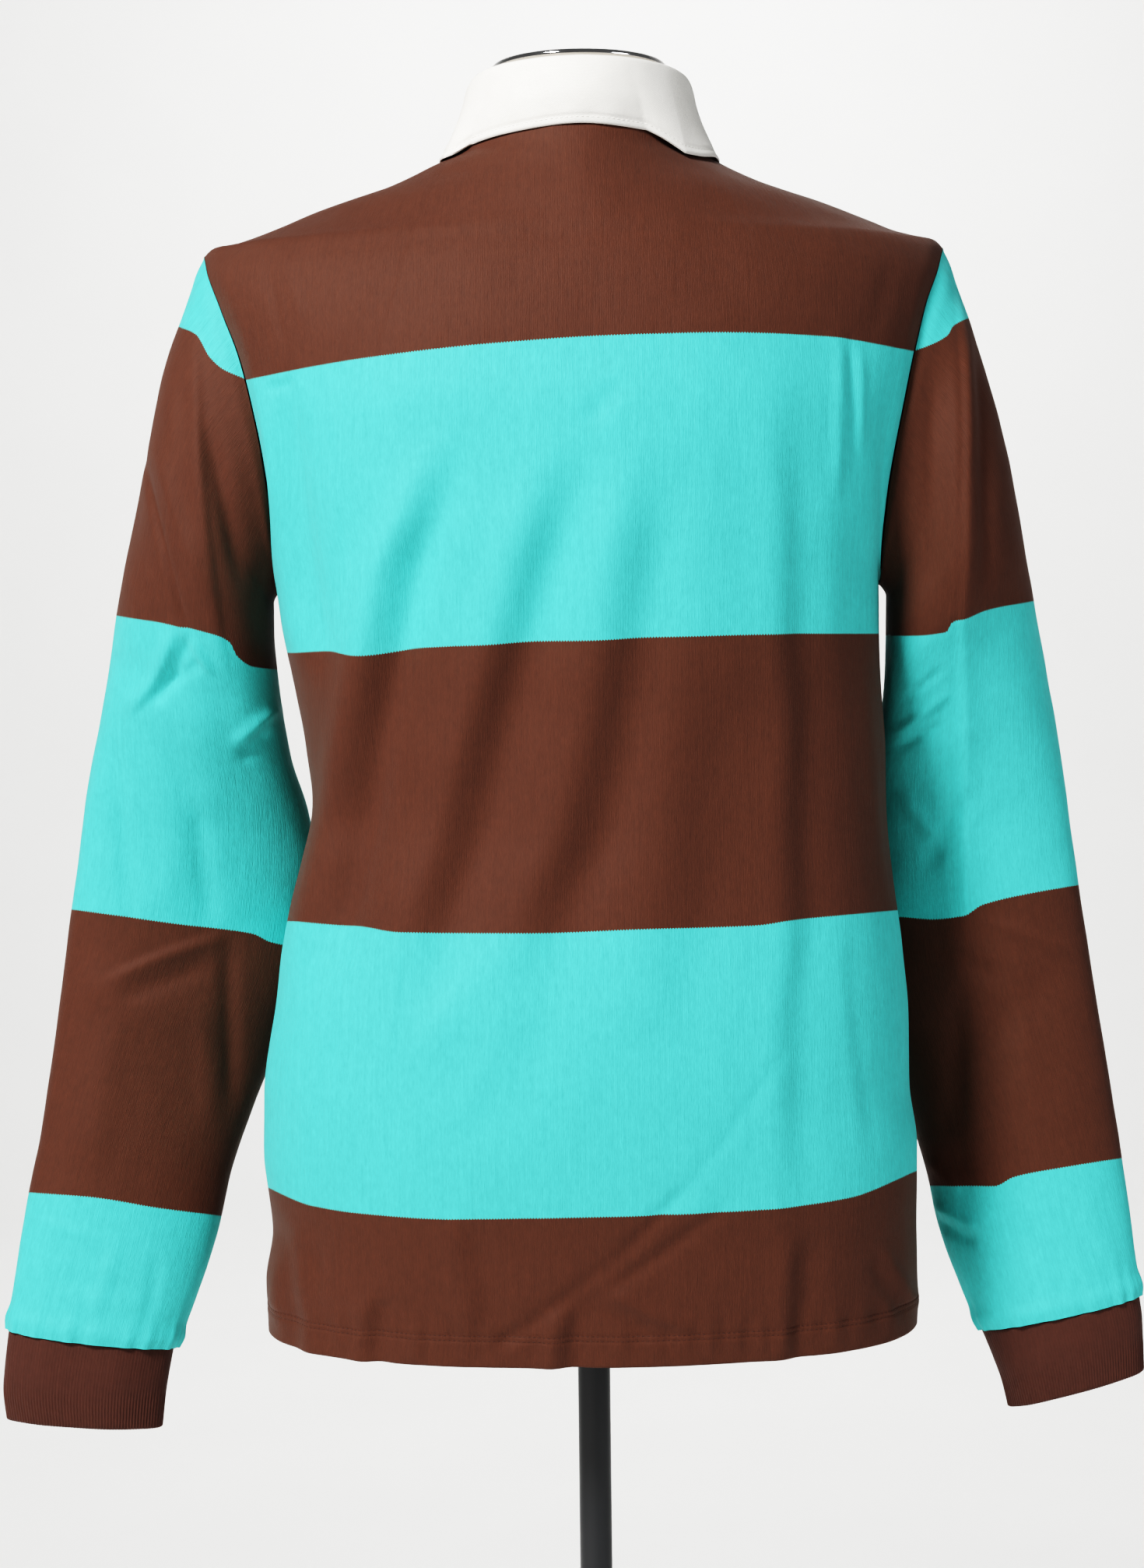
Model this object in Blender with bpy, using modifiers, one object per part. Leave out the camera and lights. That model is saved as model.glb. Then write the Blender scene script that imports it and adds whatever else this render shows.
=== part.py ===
"""Long-sleeve rugby polo shirt worn by a limbless dress form on a stand.

Metres, +Z up. The shirt's front faces -Y and its back +Y, so the wearer's left is +X.
The origin is the centre of the stand's underside. Every cloth piece is a thin wall whose
outer points come from a few section tables, and whose inner points lie one cloth further in.
"""

import math

import bmesh
import bpy
import numpy as np

# ---- Cloth ----
JERSEY = 0.0016
RIB = 0.0022
TWILL = 0.0016
SEAM = 0.0003  # gap between two pieces at a seam

# ---- Body of the shirt ----
HEM_Z = 0.7440
HEM_DROP = 0.0045  # the hem hangs this much lower at the centre than at the slits
SLIT_Z = 0.803  # top of the side slits
SLIT_GAPE = 0.0035  # how far each edge of a slit stands from the side line at the hem
ARMPIT_Z = 1.200
TIP_Z = 1.403  # shoulder tip, where the armhole crosses the shoulder line
NECK_HALF = 0.0755
BACK_NECK_Z = 1.475
FRONT_NECK_Z = 1.405
ARMHOLE_BACK = 0.055  # deepest point of the armhole behind the side line
ARMHOLE_FRONT = 0.060
ARMPIT_V = 0.6  # share of a panel's rows that lie below the armpit
NECK_U = 0.5  # share of a panel's half width that ends on the neck curve

# ---- Body sections: half widths to the wearer's left and right, depths, roundness ----
SECTION_COLUMNS = ("height", "left", "right", "back", "front", "power")
BODY_SECTIONS = np.array(
    [
        (0.7380, 0.2006, 0.1992, 0.1025, 0.1035, 2.30),
        (0.7750, 0.2016, 0.2002, 0.1060, 0.1060, 2.30),
        (0.8050, 0.1976, 0.2002, 0.1090, 0.1080, 2.30),
        (0.8530, 0.2020, 0.2006, 0.1150, 0.1110, 2.30),
        (0.8910, 0.2010, 0.1964, 0.1190, 0.1130, 2.30),
        (0.9430, 0.1928, 0.1946, 0.1210, 0.1130, 2.30),
        (0.9790, 0.1862, 0.1921, 0.1190, 0.1120, 2.30),
        (1.0330, 0.1735, 0.1858, 0.1150, 0.1120, 2.30),
        (1.0630, 0.1662, 0.1838, 0.1140, 0.1130, 2.30),
        (1.0990, 0.1714, 0.1830, 0.1150, 0.1160, 2.30),
        (1.1580, 0.1820, 0.1805, 0.1200, 0.1230, 2.30),
        (1.2000, 0.1868, 0.1801, 0.1250, 0.1280, 2.30),
        (1.2420, 0.1958, 0.1882, 0.1290, 0.1310, 2.30),
        (1.2970, 0.2093, 0.2030, 0.1310, 0.1285, 2.25),
        (1.3390, 0.2213, 0.2137, 0.1265, 0.1170, 2.15),
        (1.3650, 0.2302, 0.2195, 0.1210, 0.1070, 2.05),
        (1.3880, 0.2351, 0.2246, 0.1130, 0.0945, 1.90),
        (1.3990, 0.2330, 0.2235, 0.1080, 0.0875, 1.80),
        (1.4050, 0.2285, 0.2195, 0.1060, 0.0835, 1.72),
        (1.4080, 0.2165, 0.2080, 0.1050, 0.0815, 1.68),
        (1.4120, 0.2035, 0.1940, 0.1030, 0.0795, 1.65),
        (1.4190, 0.1850, 0.1775, 0.1000, 0.0755, 1.60),
        (1.4290, 0.1605, 0.1525, 0.0950, 0.0700, 1.58),
        (1.4420, 0.1200, 0.1135, 0.0870, 0.0635, 1.62),
        (1.4520, 0.0965, 0.0905, 0.0810, 0.0585, 1.72),
        (1.4600, 0.0790, 0.0770, 0.0770, 0.0555, 1.80),
        (1.4690, 0.0725, 0.0720, 0.0735, 0.0525, 1.92),
        (1.4780, 0.0695, 0.0690, 0.0695, 0.0500, 2.00),
        (1.4850, 0.0660, 0.0655, 0.0660, 0.0480, 2.00),
    ]
)

# ---- Folds of the body: from and to (x, height), half width, rise (a trough is negative) ----
FOLD_COLUMNS = ("x0", "z0", "x1", "z1", "half_width", "rise")
BACK_FOLDS = (
    (0.181, 1.312, 0.160, 1.150, 0.016, -0.0060),
    (0.157, 1.316, 0.137, 1.214, 0.012, -0.0028),
    (0.048, 1.285, 0.124, 1.170, 0.026, 0.0052),
    (0.012, 1.262, 0.098, 1.120, 0.022, -0.0046),
    (0.045, 1.150, 0.143, 1.005, 0.028, 0.0058),
    (0.000, 1.150, 0.112, 0.975, 0.024, -0.0046),
    (-0.144, 1.330, -0.133, 1.240, 0.016, 0.0034),
    (-0.120, 1.200, -0.118, 0.870, 0.022, -0.0036),
    (-0.152, 1.150, -0.158, 0.900, 0.020, 0.0034),
    (0.120, 0.960, 0.165, 0.860, 0.026, 0.0046),
)
FRONT_FOLDS = (
    (0.165, 1.300, 0.120, 1.160, 0.020, -0.0048),
    (-0.165, 1.300, -0.128, 1.150, 0.018, -0.0044),
    (0.070, 1.230, 0.140, 1.060, 0.026, 0.0048),
    (-0.075, 1.200, -0.130, 1.020, 0.026, 0.0050),
    (0.100, 1.030, 0.112, 0.850, 0.024, -0.0042),
    (-0.105, 1.000, -0.095, 0.830, 0.024, -0.0040),
)

# ---- Sleeves: rings given by their outer and inner end, seen from the back ----
RING_COLUMNS = ("outer_x", "outer_y", "outer_z", "inner_x", "inner_y", "inner_z", "half_depth")
LEFT_SLEEVE = (
    (0.2562, -0.002, 1.3314, 0.1925, -0.002, 1.1890, 0.0590),
    (0.2708, -0.006, 1.2672, 0.1925, -0.006, 1.1710, 0.0610),
    (0.2821, -0.010, 1.2200, 0.1910, -0.010, 1.1500, 0.0590),
    (0.2905, -0.014, 1.1809, 0.1895, -0.018, 1.1310, 0.0540),
    (0.3008, -0.020, 1.1286, 0.1850, -0.036, 1.0950, 0.0460),
    (0.3098, -0.025, 1.0900, 0.1770, -0.054, 1.0600, 0.0400),
    (0.3163, -0.030, 1.0540, 0.1725, -0.064, 1.0240, 0.0360),
    (0.3260, -0.036, 0.9980, 0.1760, -0.072, 0.9660, 0.0330),
    (0.3345, -0.038, 0.9396, 0.2010, -0.068, 0.9095, 0.0310),
    (0.3475, -0.036, 0.8590, 0.2290, -0.054, 0.8328, 0.0280),
    (0.3560, -0.034, 0.8195, 0.2375, -0.048, 0.7940, 0.0260),
    (0.3700, -0.030, 0.7369, 0.2635, -0.040, 0.7219, 0.0215),
)
RIGHT_SLEEVE = (
    (0.2447, -0.002, 1.3314, 0.1865, -0.002, 1.1890, 0.0590),
    (0.2619, -0.006, 1.2672, 0.1865, -0.006, 1.1710, 0.0610),
    (0.2715, -0.010, 1.2200, 0.1865, -0.012, 1.1500, 0.0580),
    (0.2801, -0.016, 1.1790, 0.1860, -0.026, 1.1290, 0.0530),
    (0.2908, -0.024, 1.1250, 0.1840, -0.048, 1.0920, 0.0450),
    (0.2979, -0.029, 1.0860, 0.1800, -0.064, 1.0560, 0.0390),
    (0.3032, -0.034, 1.0520, 0.1750, -0.072, 1.0200, 0.0350),
    (0.3112, -0.038, 0.9940, 0.1730, -0.078, 0.9620, 0.0320),
    (0.3200, -0.040, 0.9360, 0.1900, -0.074, 0.9060, 0.0300),
    (0.3320, -0.038, 0.8610, 0.2140, -0.060, 0.8285, 0.0280),
    (0.3385, -0.036, 0.8180, 0.2220, -0.054, 0.7890, 0.0260),
    (0.3465, -0.032, 0.7497, 0.2450, -0.046, 0.7258, 0.0215),
)
SLEEVE_POWER = 2.15
LEFT_CUFF = (
    (0.3685, -0.030, 0.7361, 0.2665, -0.040, 0.7212, 0.0200),
    (0.3715, -0.031, 0.7150, 0.2700, -0.040, 0.7040, 0.0205),
    (0.3730, -0.032, 0.6980, 0.2725, -0.041, 0.6900, 0.0200),
    (0.3715, -0.033, 0.6795, 0.2745, -0.042, 0.6715, 0.0180),
)
RIGHT_CUFF = (
    (0.3455, -0.032, 0.7488, 0.2475, -0.046, 0.7250, 0.0200),
    (0.3475, -0.033, 0.7340, 0.2545, -0.046, 0.7070, 0.0205),
    (0.3480, -0.034, 0.7190, 0.2600, -0.047, 0.6920, 0.0200),
    (0.3485, -0.035, 0.7015, 0.2640, -0.048, 0.6760, 0.0180),
)
LEFT_SLEEVE_FOLDS = (
    (0.247, 1.330, 0.226, 1.180, 0.013, 0.0036),
    (0.283, 1.260, 0.250, 1.165, 0.014, -0.0036),
    (0.300, 1.158, 0.215, 1.128, 0.012, -0.0040),
    (0.240, 1.150, 0.232, 1.060, 0.014, 0.0036),
    (0.310, 1.060, 0.235, 1.000, 0.018, -0.0040),
    (0.330, 0.960, 0.240, 0.930, 0.015, 0.0036),
)
RIGHT_SLEEVE_FOLDS = (
    (-0.222, 1.370, -0.228, 1.180, 0.012, 0.0042),
    (-0.228, 1.180, -0.243, 1.000, 0.013, 0.0036),
    (-0.262, 1.200, -0.208, 1.100, 0.014, -0.0036),
    (-0.300, 0.960, -0.225, 0.900, 0.018, -0.0038),
    (-0.225, 0.840, -0.250, 0.800, 0.010, -0.0028),
)

# ---- Collar: stand ring at the fold, and the lower edge of the fall by angle from the back ----
FOLD_HALF = 0.0665
FOLD_BACK = 0.0735
FOLD_FRONT = 0.0715
FOLD_HEIGHTS = ((0, 1.5053), (45, 1.5045), (90, 1.4985), (135, 1.4760), (180, 1.4520))
FALL_COLUMNS = ("angle", "x", "y", "z")
FALL_EDGE = (
    (0, 0.0000, 0.0880, 1.4656),
    (30, 0.0455, 0.0770, 1.4616),
    (60, 0.0750, 0.0480, 1.4575),
    (75, 0.0842, 0.0262, 1.4597),
    (90, 0.0872, 0.0000, 1.4612),
    (105, 0.0885, -0.0250, 1.4572),
    (120, 0.0880, -0.0480, 1.4430),
    (145, 0.0745, -0.0815, 1.4130),
    (168, 0.0480, -0.1085, 1.3720),
)
FALL_END = 168  # degrees from the back to a leaf's front edge
STAND_END = 190  # the stand's two ends pass each other at the front
NECK_STEP = 15  # degrees between two points of the neck edge
STAND_LAP = 0.0013  # each end lies this far off the middle of their lap
STAND_DROP = 0.0015  # the stand ends this far below the fold

# ---- Placket ----
PLACKET_HALF = 0.015
PLACKET_BOTTOM_Z = 1.225
PLACKET_MARGIN = 0.003  # how far the top band covers the slot's edges
PLACKET_LIFT = TWILL + 0.0007  # from the front's outer side to the top band's
BUTTON_RADIUS = 0.007
BUTTON_THICK = 0.0028
BUTTON_HEIGHTS = (1.385, 1.325, 1.265)

# ---- Dress form: half width, depths, by height; it hides inside the shirt ----
FORM_COLUMNS = ("height", "half", "back", "front")
FORM_SECTIONS = np.array(
    [
        (0.8000, 0.1480, 0.0830, 0.0820),
        (0.8120, 0.1560, 0.0900, 0.0880),
        (0.8700, 0.1640, 0.0990, 0.0930),
        (0.9400, 0.1600, 0.1000, 0.0920),
        (1.0300, 0.1450, 0.0930, 0.0900),
        (1.1200, 0.1530, 0.0960, 0.0990),
        (1.2000, 0.1660, 0.1060, 0.1090),
        (1.2700, 0.1750, 0.1120, 0.1130),
        (1.3300, 0.1790, 0.1110, 0.1050),
        (1.3750, 0.1790, 0.1060, 0.0920),
        (1.4000, 0.1770, 0.0990, 0.0800),
    ]
)
FORM_SHOULDER_LEVELS = (1.4080, 1.4130, 1.4190, 1.4270, 1.4360, 1.4450, 1.4540)
FORM_INSIDE = 0.0090  # and this far inside the front and back there
FORM_REST = 0.0021  # the form's shoulder lies this far below the shirt's outer shoulder line
FORM_NECK_HALF = 0.0600
FORM_NECK_BACK = 0.0620
FORM_NECK_FRONT = 0.0520
FORM_TOP_Z = 1.5150
FORM_AROUND = 28

# ---- Neck cap, mast and stand ----
CAP_RADIUS = 0.0535
CAP_THICK = 0.0042
CAP_DOME = 0.0045
POLE_RADIUS = 0.0100
POLE_BOTTOM_Z = 0.300
FLANGE_RADIUS = 0.030
FLANGE_THICK = 0.004
TUBE_RADIUS = 0.0122
TUBE_BORE = 0.0104
LOCK_RADIUS = 0.0128
LOCK_BORE = 0.0101  # the sleeve that clamps the pole
LOCK_TOP_Z = 0.5880
LOCK_HEIGHT = 0.032
BASE_RADIUS = 0.170
BASE_THICK = 0.008
BOSS_RADIUS = 0.026
BOSS_TOP_Z = 0.030
ROUND_STEPS = 32

COLOURS = {
    "brown_jersey": ((0.085, 0.028, 0.018), 0.85, 0.0),
    "turquoise_jersey": ((0.045, 0.600, 0.570), 0.85, 0.0),
    "brown_rib": ((0.070, 0.024, 0.016), 0.88, 0.0),
    "white_twill": ((0.860, 0.850, 0.800), 0.80, 0.0),
    "white_button": ((0.800, 0.790, 0.740), 0.35, 0.0),
    "beige_linen": ((0.640, 0.540, 0.410), 0.90, 0.0),
    "chrome": ((0.800, 0.800, 0.800), 0.12, 1.0),
    "black_metal": ((0.018, 0.019, 0.021), 0.38, 0.0),
}


def smooth(at, values, x):
    """Cubic curve through the rows (at, values) that doesn't overshoot them."""
    at = np.asarray(at, float)
    values = np.asarray(values, float)
    more = (1,) * (values.ndim - 1)
    gap = np.diff(at)
    slope = np.diff(values, axis=0) / gap.reshape((-1,) + more)
    before, after = slope[:-1], slope[1:]
    total = before + after
    level = before * after <= 0
    middle = np.where(level, 0, 2 * before * after / np.where(level, 1, total))
    tangent = np.concatenate([slope[:1], middle, slope[-1:]])
    x = np.clip(np.asarray(x, float), at[0], at[-1])
    i = np.clip(np.searchsorted(at, x, side="right") - 1, 0, len(at) - 2)
    t = ((x - at[i]) / gap[i]).reshape(x.shape + more)
    h = gap[i].reshape(x.shape + more)
    start = (1 + 2 * t) * (1 - t) ** 2 * values[i] + t * (1 - t) ** 2 * h * tangent[i]
    end = t * t * (3 - 2 * t) * values[i + 1] + t * t * (t - 1) * h * tangent[i + 1]
    return start + end


def ease(t):
    t = np.clip(t, 0, 1)
    return t * t * (3 - 2 * t)


def unit(vectors):
    return vectors / np.maximum(np.linalg.norm(vectors, axis=-1, keepdims=True), 1e-12)


def section(column, z):
    return smooth(BODY_SECTIONS[:, 0], BODY_SECTIONS[:, SECTION_COLUMNS.index(column)], z)


def half_width(x, z):
    return np.where(np.asarray(x) >= 0, section("left", z), section("right", z))


def face_depth(face, z):
    return section("back" if face > 0 else "front", z)


def body_y(x, z, face):
    """How far the body's surface stands behind (+1) or in front (-1) of the side line."""
    power = section("power", z)
    share = np.minimum(np.abs(x) / half_width(x, z), 1) ** power
    return face * face_depth(face, z) * (1 - share) ** (1 / power)


def body_x(y, z, face, side):
    """Half width of the section at height z where its surface is y from the side line."""
    power = section("power", z)
    share = np.minimum(np.abs(y) / face_depth(face, z), 1) ** power
    return side * half_width(side, z) * (1 - share) ** (1 / power)


def body_z(x, y, face):
    """Height of the shirt's upper surface at x, and y from the side line."""
    low = np.full(np.shape(x), ARMPIT_Z)
    high = np.full(np.shape(x), BODY_SECTIONS[-1, 0])
    for _ in range(30):
        z = (low + high) / 2
        power = section("power", z)
        reach = (np.abs(x) / half_width(x, z)) ** power + (y / face_depth(face, z)) ** power
        low = np.where(reach < 1, z, low)
        high = np.where(reach < 1, high, z)
    return (low + high) / 2


def ridge_z(x):
    """Height of the shoulder line at x, which is where the section's half width is |x|."""
    z = np.linspace(TIP_Z, BODY_SECTIONS[-1, 0], 400)
    left = np.interp(-np.abs(x), -section("left", z), z)
    right = np.interp(-np.abs(x), -section("right", z), z)
    return np.where(np.asarray(x) >= 0, left, right)


def armhole(turn, face, side):
    """Point of the armhole edge: turn goes from 0 at the armpit to pi at the shoulder tip."""
    z = ARMPIT_Z + (TIP_Z - ARMPIT_Z) * (1 - np.cos(turn)) / 2
    y = (ARMHOLE_BACK if face > 0 else ARMHOLE_FRONT) * np.sin(turn)
    return np.stack([body_x(y, z, face, side), face * y, z], -1)


def neck(turn, face, side):
    """Point of the neck edge: turn goes from 0 at the centre line to pi/2 at the shoulder."""
    x = side * NECK_HALF * np.sin(turn)
    centre = BACK_NECK_Z if face > 0 else FRONT_NECK_Z
    y = face_depth(face, centre) * np.cos(turn)
    return np.stack([x, face * y, body_z(x, y, face)], -1)


def top_edge(u, face):
    """A panel's top: the neck curve in the middle, the shoulder lines beside it."""
    side = np.where(u < 0, -1.0, 1.0)
    share = np.abs(u)
    in_neck = neck(np.minimum(share / NECK_U, 1) * math.pi / 2, face, side)
    tip = half_width(side, TIP_Z)
    x = side * (NECK_HALF + (tip - NECK_HALF) * (share - NECK_U) / (1 - NECK_U))
    on_shoulder = np.stack([x, 0 * x, ridge_z(x)], -1)
    return np.where((share < NECK_U)[..., None], in_neck, on_shoulder)


def edge_y(z, above, face):
    """How far a panel's side edge stands from the side line: slit, side seam or armhole."""
    gape = SLIT_GAPE * np.clip((SLIT_Z - z) / (SLIT_Z - HEM_Z), 0, 1) ** 0.8
    turn = np.arccos(np.clip(1 - 2 * (z - ARMPIT_Z) / (TIP_Z - ARMPIT_Z), -1, 1))
    deepest = ARMHOLE_BACK if face > 0 else ARMHOLE_FRONT
    return np.where(above > 0, deepest * np.sin(turn), gape)


def panel_points(u, v, face):
    """Points of the back (+1) or front (-1): u from right -1 to left +1, v from hem 0 to top 1."""
    side = np.where(u < 0, -1.0, 1.0)
    above = np.clip((v - ARMPIT_V) / (1 - ARMPIT_V), 0, 1)
    at_edge = np.abs(u) ** 3
    rise = (1 - at_edge) * np.sin(above * math.pi / 2) + at_edge * (1 - np.cos(above * math.pi)) / 2
    edge_rise = (1 - np.cos(above * math.pi)) / 2
    hem_z = HEM_Z - HEM_DROP * (1 - u * u)
    low_z = hem_z + (ARMPIT_Z - hem_z) * np.minimum(v / ARMPIT_V, 1)
    top = top_edge(u, face)
    z = low_z + (top[..., 2] - ARMPIT_Z) * rise
    edge_z = low_z + (TIP_Z - ARMPIT_Z) * edge_rise
    edge_x = body_x(edge_y(edge_z, above, face), edge_z, face, side)
    round_share = np.abs(np.sin(u * math.pi / 2)) ** (2 / section("power", edge_z))
    top_share = np.abs(top[..., 0]) / half_width(side, TIP_Z)
    blend = ease(above)
    x = edge_x * (round_share * (1 - blend) + top_share * blend)
    y = body_y(x, z, face)
    on_edge = np.abs(u) > 1 - 1e-9
    y = np.where(on_edge, face * edge_y(edge_z, above, face), y)
    points = np.stack([x, y, z], -1)
    return np.where((v > 1 - 1e-9)[..., None], top, points)


def fold_height(points, folds):
    """Sum of the soft ridges and troughs at these points, read in the front view."""
    x, z = points[..., 0], points[..., 2]
    total = np.zeros(x.shape)
    for x0, z0, x1, z1, half, rise in folds:
        run = np.array([x1 - x0, z1 - z0])
        length = np.hypot(*run)
        along = ((x - x0) * run[0] + (z - z0) * run[1]) / length**2
        across = ((x - x0) * run[1] - (z - z0) * run[0]) / length
        profile = np.exp(-((across / half) ** 2))
        ends = ease((along + 0.12) / 0.34) * ease((1.12 - along) / 0.34)
        total += rise * profile * ends
    return total


def grid_normals(points, wrap):
    """Unit normals of a grid of points; wrap closes the second direction."""
    down = np.gradient(points, axis=0)
    if wrap:
        across = (np.roll(points, -1, 1) - np.roll(points, 1, 1)) / 2
    else:
        across = np.gradient(points, axis=1)
    return unit(np.cross(across, down))


def material(name):
    found = bpy.data.materials.get(name)
    if found:
        return found
    colour, roughness, metallic = COLOURS[name]
    made = bpy.data.materials.new(name)
    made.use_nodes = True
    shader = made.node_tree.nodes["Principled BSDF"]
    shader.inputs["Base Color"].default_value = (*colour, 1)
    shader.inputs["Roughness"].default_value = roughness
    shader.inputs["Metallic"].default_value = metallic
    made.diffuse_color = (*colour, 1)
    return made


def add_object(name, mesh, finish, collection):
    mesh.materials.append(material(finish))
    made = bpy.data.objects.new(name, mesh)
    collection.objects.link(made)
    mesh.shade_smooth()
    mesh.set_sharp_from_angle(angle=math.radians(40))
    return made


def wall(name, outer, normals, thick, finish, collection, wrap=False):
    """One closed wall between a grid of outer points and the same points moved in.

    Each cell is split along its shorter diagonal, the same on both sides.
    """
    rows, cols = outer.shape[:2]
    inner = outer - normals * thick
    count = rows * cols
    last = cols if wrap else cols - 1
    faces = []
    for r in range(rows - 1):
        for c in range(last):
            d = (c + 1) % cols
            a, b = r * cols + c, r * cols + d
            e, f = a + cols, b + cols
            falling = np.linalg.norm(outer[r, c] - outer[r + 1, d])
            rising = np.linalg.norm(outer[r, d] - outer[r + 1, c])
            pair = ((a, b, f), (a, f, e)) if falling < rising else ((a, b, e), (b, f, e))
            faces.extend(pair)
            faces.extend(tuple(count + i for i in face[::-1]) for face in pair)
    for r, turn in ((0, 1), (rows - 1, -1)):
        for c in range(last):
            a, b = r * cols + c, r * cols + (c + 1) % cols
            faces.append((b, a, count + a, count + b)[::turn])
    if not wrap:
        for c, turn in ((0, -1), (cols - 1, 1)):
            for r in range(rows - 1):
                a, b = r * cols + c, (r + 1) * cols + c
                faces.append((b, a, count + a, count + b)[::turn])
    mesh = bpy.data.meshes.new(name)
    points = np.concatenate([outer.reshape(-1, 3), inner.reshape(-1, 3)])
    mesh.from_pydata(points.tolist(), [], faces)
    work = bmesh.new()
    work.from_mesh(mesh)
    bmesh.ops.recalc_face_normals(work, faces=work.faces)
    work.to_mesh(mesh)
    work.free()
    return add_object(name, mesh, finish, collection)


def panel(name, face, columns, low_rows, top_rows, folds, collection):
    """Back or front of the body, from the hem to the shoulder lines and the neck."""
    u = np.linspace(-1, 1, 2 * columns + 1)[None, :]
    low_v = np.linspace(0, ARMPIT_V, low_rows + 1)
    v = np.concatenate([low_v, np.linspace(ARMPIT_V, 1, top_rows + 1)[1:]])[:, None]
    points = panel_points(u + 0 * v, v + 0 * u, face)
    normals = grid_normals(points, False) * -face
    outward = np.stack([np.sign(u + 0 * v), 0 * (u + v), 0 * (u + v)], -1)
    above = np.clip((v - ARMPIT_V) / (1 - ARMPIT_V), 0, 1) + 0 * u
    on_side = (np.abs(u) > 1 - 1e-9) & (above == 0)
    normals = np.where(on_side[..., None], outward, normals)
    on_ridge = (above > 1 - 1e-9) & (np.abs(u) >= NECK_U - 1e-9)
    flat = normals * np.array([1.0, 0.0, 1.0])
    normals = np.where(on_ridge[..., None], unit(flat), normals)
    turn = above * math.pi
    radial = np.stack([0 * turn, face * np.sin(turn), -np.cos(turn)], -1)
    on_armhole = (np.abs(u) > 1 - 1e-9) & (v >= ARMPIT_V - 1e-9)
    normals = np.where(on_armhole[..., None], radial, normals)
    fade = ease((1 - np.abs(u)) / 0.16) * ease((1 - v) / 0.14)
    points = points + normals * (fold_height(points, folds) * fade)[..., None]
    points[..., 1] += face * SEAM / 2
    return wall(name, points, normals, JERSEY, "brown_jersey", collection)


def ring(row, turns, side, power):
    """Closed section between its outer end (turn 0) and inner end (turn pi), back at pi/2."""
    outer = np.array([side * row[0], row[1], row[2]])
    inner = np.array([side * row[3], row[4], row[5]])
    arm = (outer - inner) / 2
    depth = np.array([-arm[1] * side, abs(arm[0]), 0.0])
    depth = unit(depth) * row[6]
    c, s = np.cos(turns), np.sin(turns)
    c = np.sign(c) * np.abs(c) ** (2 / power)
    s = np.sign(s) * np.abs(s) ** (2 / power)
    return (outer + inner) / 2 + c[:, None] * arm + s[:, None] * depth


def armhole_ring(turns, side):
    """The sleeve's first ring: the armhole edge, from the tip round the back to the armpit."""
    turns = np.mod(turns, 2 * math.pi)
    at_back = turns <= math.pi
    back = armhole(math.pi - turns, 1, side)
    front = armhole(turns - math.pi, -1, side)
    points = np.where(at_back[:, None], back, front)
    points[:, 1] += np.where(at_back, 1, -1) * SEAM / 2 * (np.abs(np.sin(turns)) > 1e-6)
    return points


def sleeve_rings(table, side, around):
    turns = np.linspace(0, 2 * math.pi, around, endpoint=False)
    first = armhole_ring(turns, side)
    rings = [first] + [ring(row, turns, side, SLEEVE_POWER) for row in table]
    return turns, np.array(rings)


def sleeve(name, table, folds, side, around, rows, collection):
    turns, rings = sleeve_rings(table, side, around)
    centres = rings.mean(axis=1)
    reach = np.concatenate([[0], np.cumsum(np.linalg.norm(np.diff(centres, axis=0), axis=1))])
    share = np.linspace(0, 1, rows + 1)
    points = smooth(reach, rings, reach[-1] * share)
    normals = grid_normals(points, True)
    away = unit(points - points.mean(axis=1, keepdims=True))
    if (normals * away).sum() < 0:
        normals = -normals
    normals[0] = np.stack([0 * turns, np.sin(turns), np.cos(turns)], -1)
    front_back = np.sign(np.sin(turns))[None, :] * ease(np.abs(np.sin(turns)) / 0.5)[None, :]
    fade = ease(share / 0.1) * ease((1 - share) / 0.08)
    height = fold_height(points, folds) * fade[:, None] * np.where(front_back > 0, 1.0, 0.7)
    height = height * np.abs(front_back)
    points = points + normals * height[..., None]
    points[0, :, 0] += side * SEAM
    return wall(name, points, normals, JERSEY, "turquoise_jersey", collection, wrap=True)


def cuff(name, table, side, around, rows, collection):
    turns = np.linspace(0, 2 * math.pi, around, endpoint=False)
    rings = np.array([ring(row, turns, side, SLEEVE_POWER) for row in table])
    points = smooth(np.linspace(0, 1, len(table)), rings, np.linspace(0, 1, rows + 1))
    normals = grid_normals(points, True)
    away = unit(points - points.mean(axis=1, keepdims=True))
    if (normals * away).sum() < 0:
        normals = -normals
    return wall(name, points, normals, RIB, "brown_rib", collection, wrap=True)


def fold_line(degrees):
    """Top edge of the collar, where the fall turns over the stand."""
    turn = np.radians(degrees)
    reach = np.where(np.cos(turn) > 0, FOLD_BACK, FOLD_FRONT)
    table = np.array(FOLD_HEIGHTS)
    z = smooth(table[:, 0], table[:, 1], np.minimum(np.abs(degrees), 360 - np.abs(degrees)))
    return np.stack([FOLD_HALF * np.sin(turn), reach * np.cos(turn), z], -1)


def neck_ring(degrees):
    """The neck edge by the same angle as the collar: 0 at the back, 180 at the front."""
    turn = np.radians(np.minimum(np.abs(degrees), 360 - np.abs(degrees)))
    side = np.where(np.sin(np.radians(degrees)) < 0, -1.0, 1.0)
    back = neck(np.minimum(turn, math.pi / 2), 1, side)
    front = neck(np.minimum(math.pi - turn, math.pi / 2), -1, side)
    return np.where((turn <= math.pi / 2)[:, None], back, front)


def front_lap(degrees):
    return STAND_LAP * ease((np.abs(degrees) - 145) / 25)


def fall_edge(degrees):
    table = np.array(FALL_EDGE)
    found = smooth(table[:, 0], table[:, 1:], np.abs(degrees))
    found[:, 0] *= np.sign(degrees)
    return found


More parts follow.
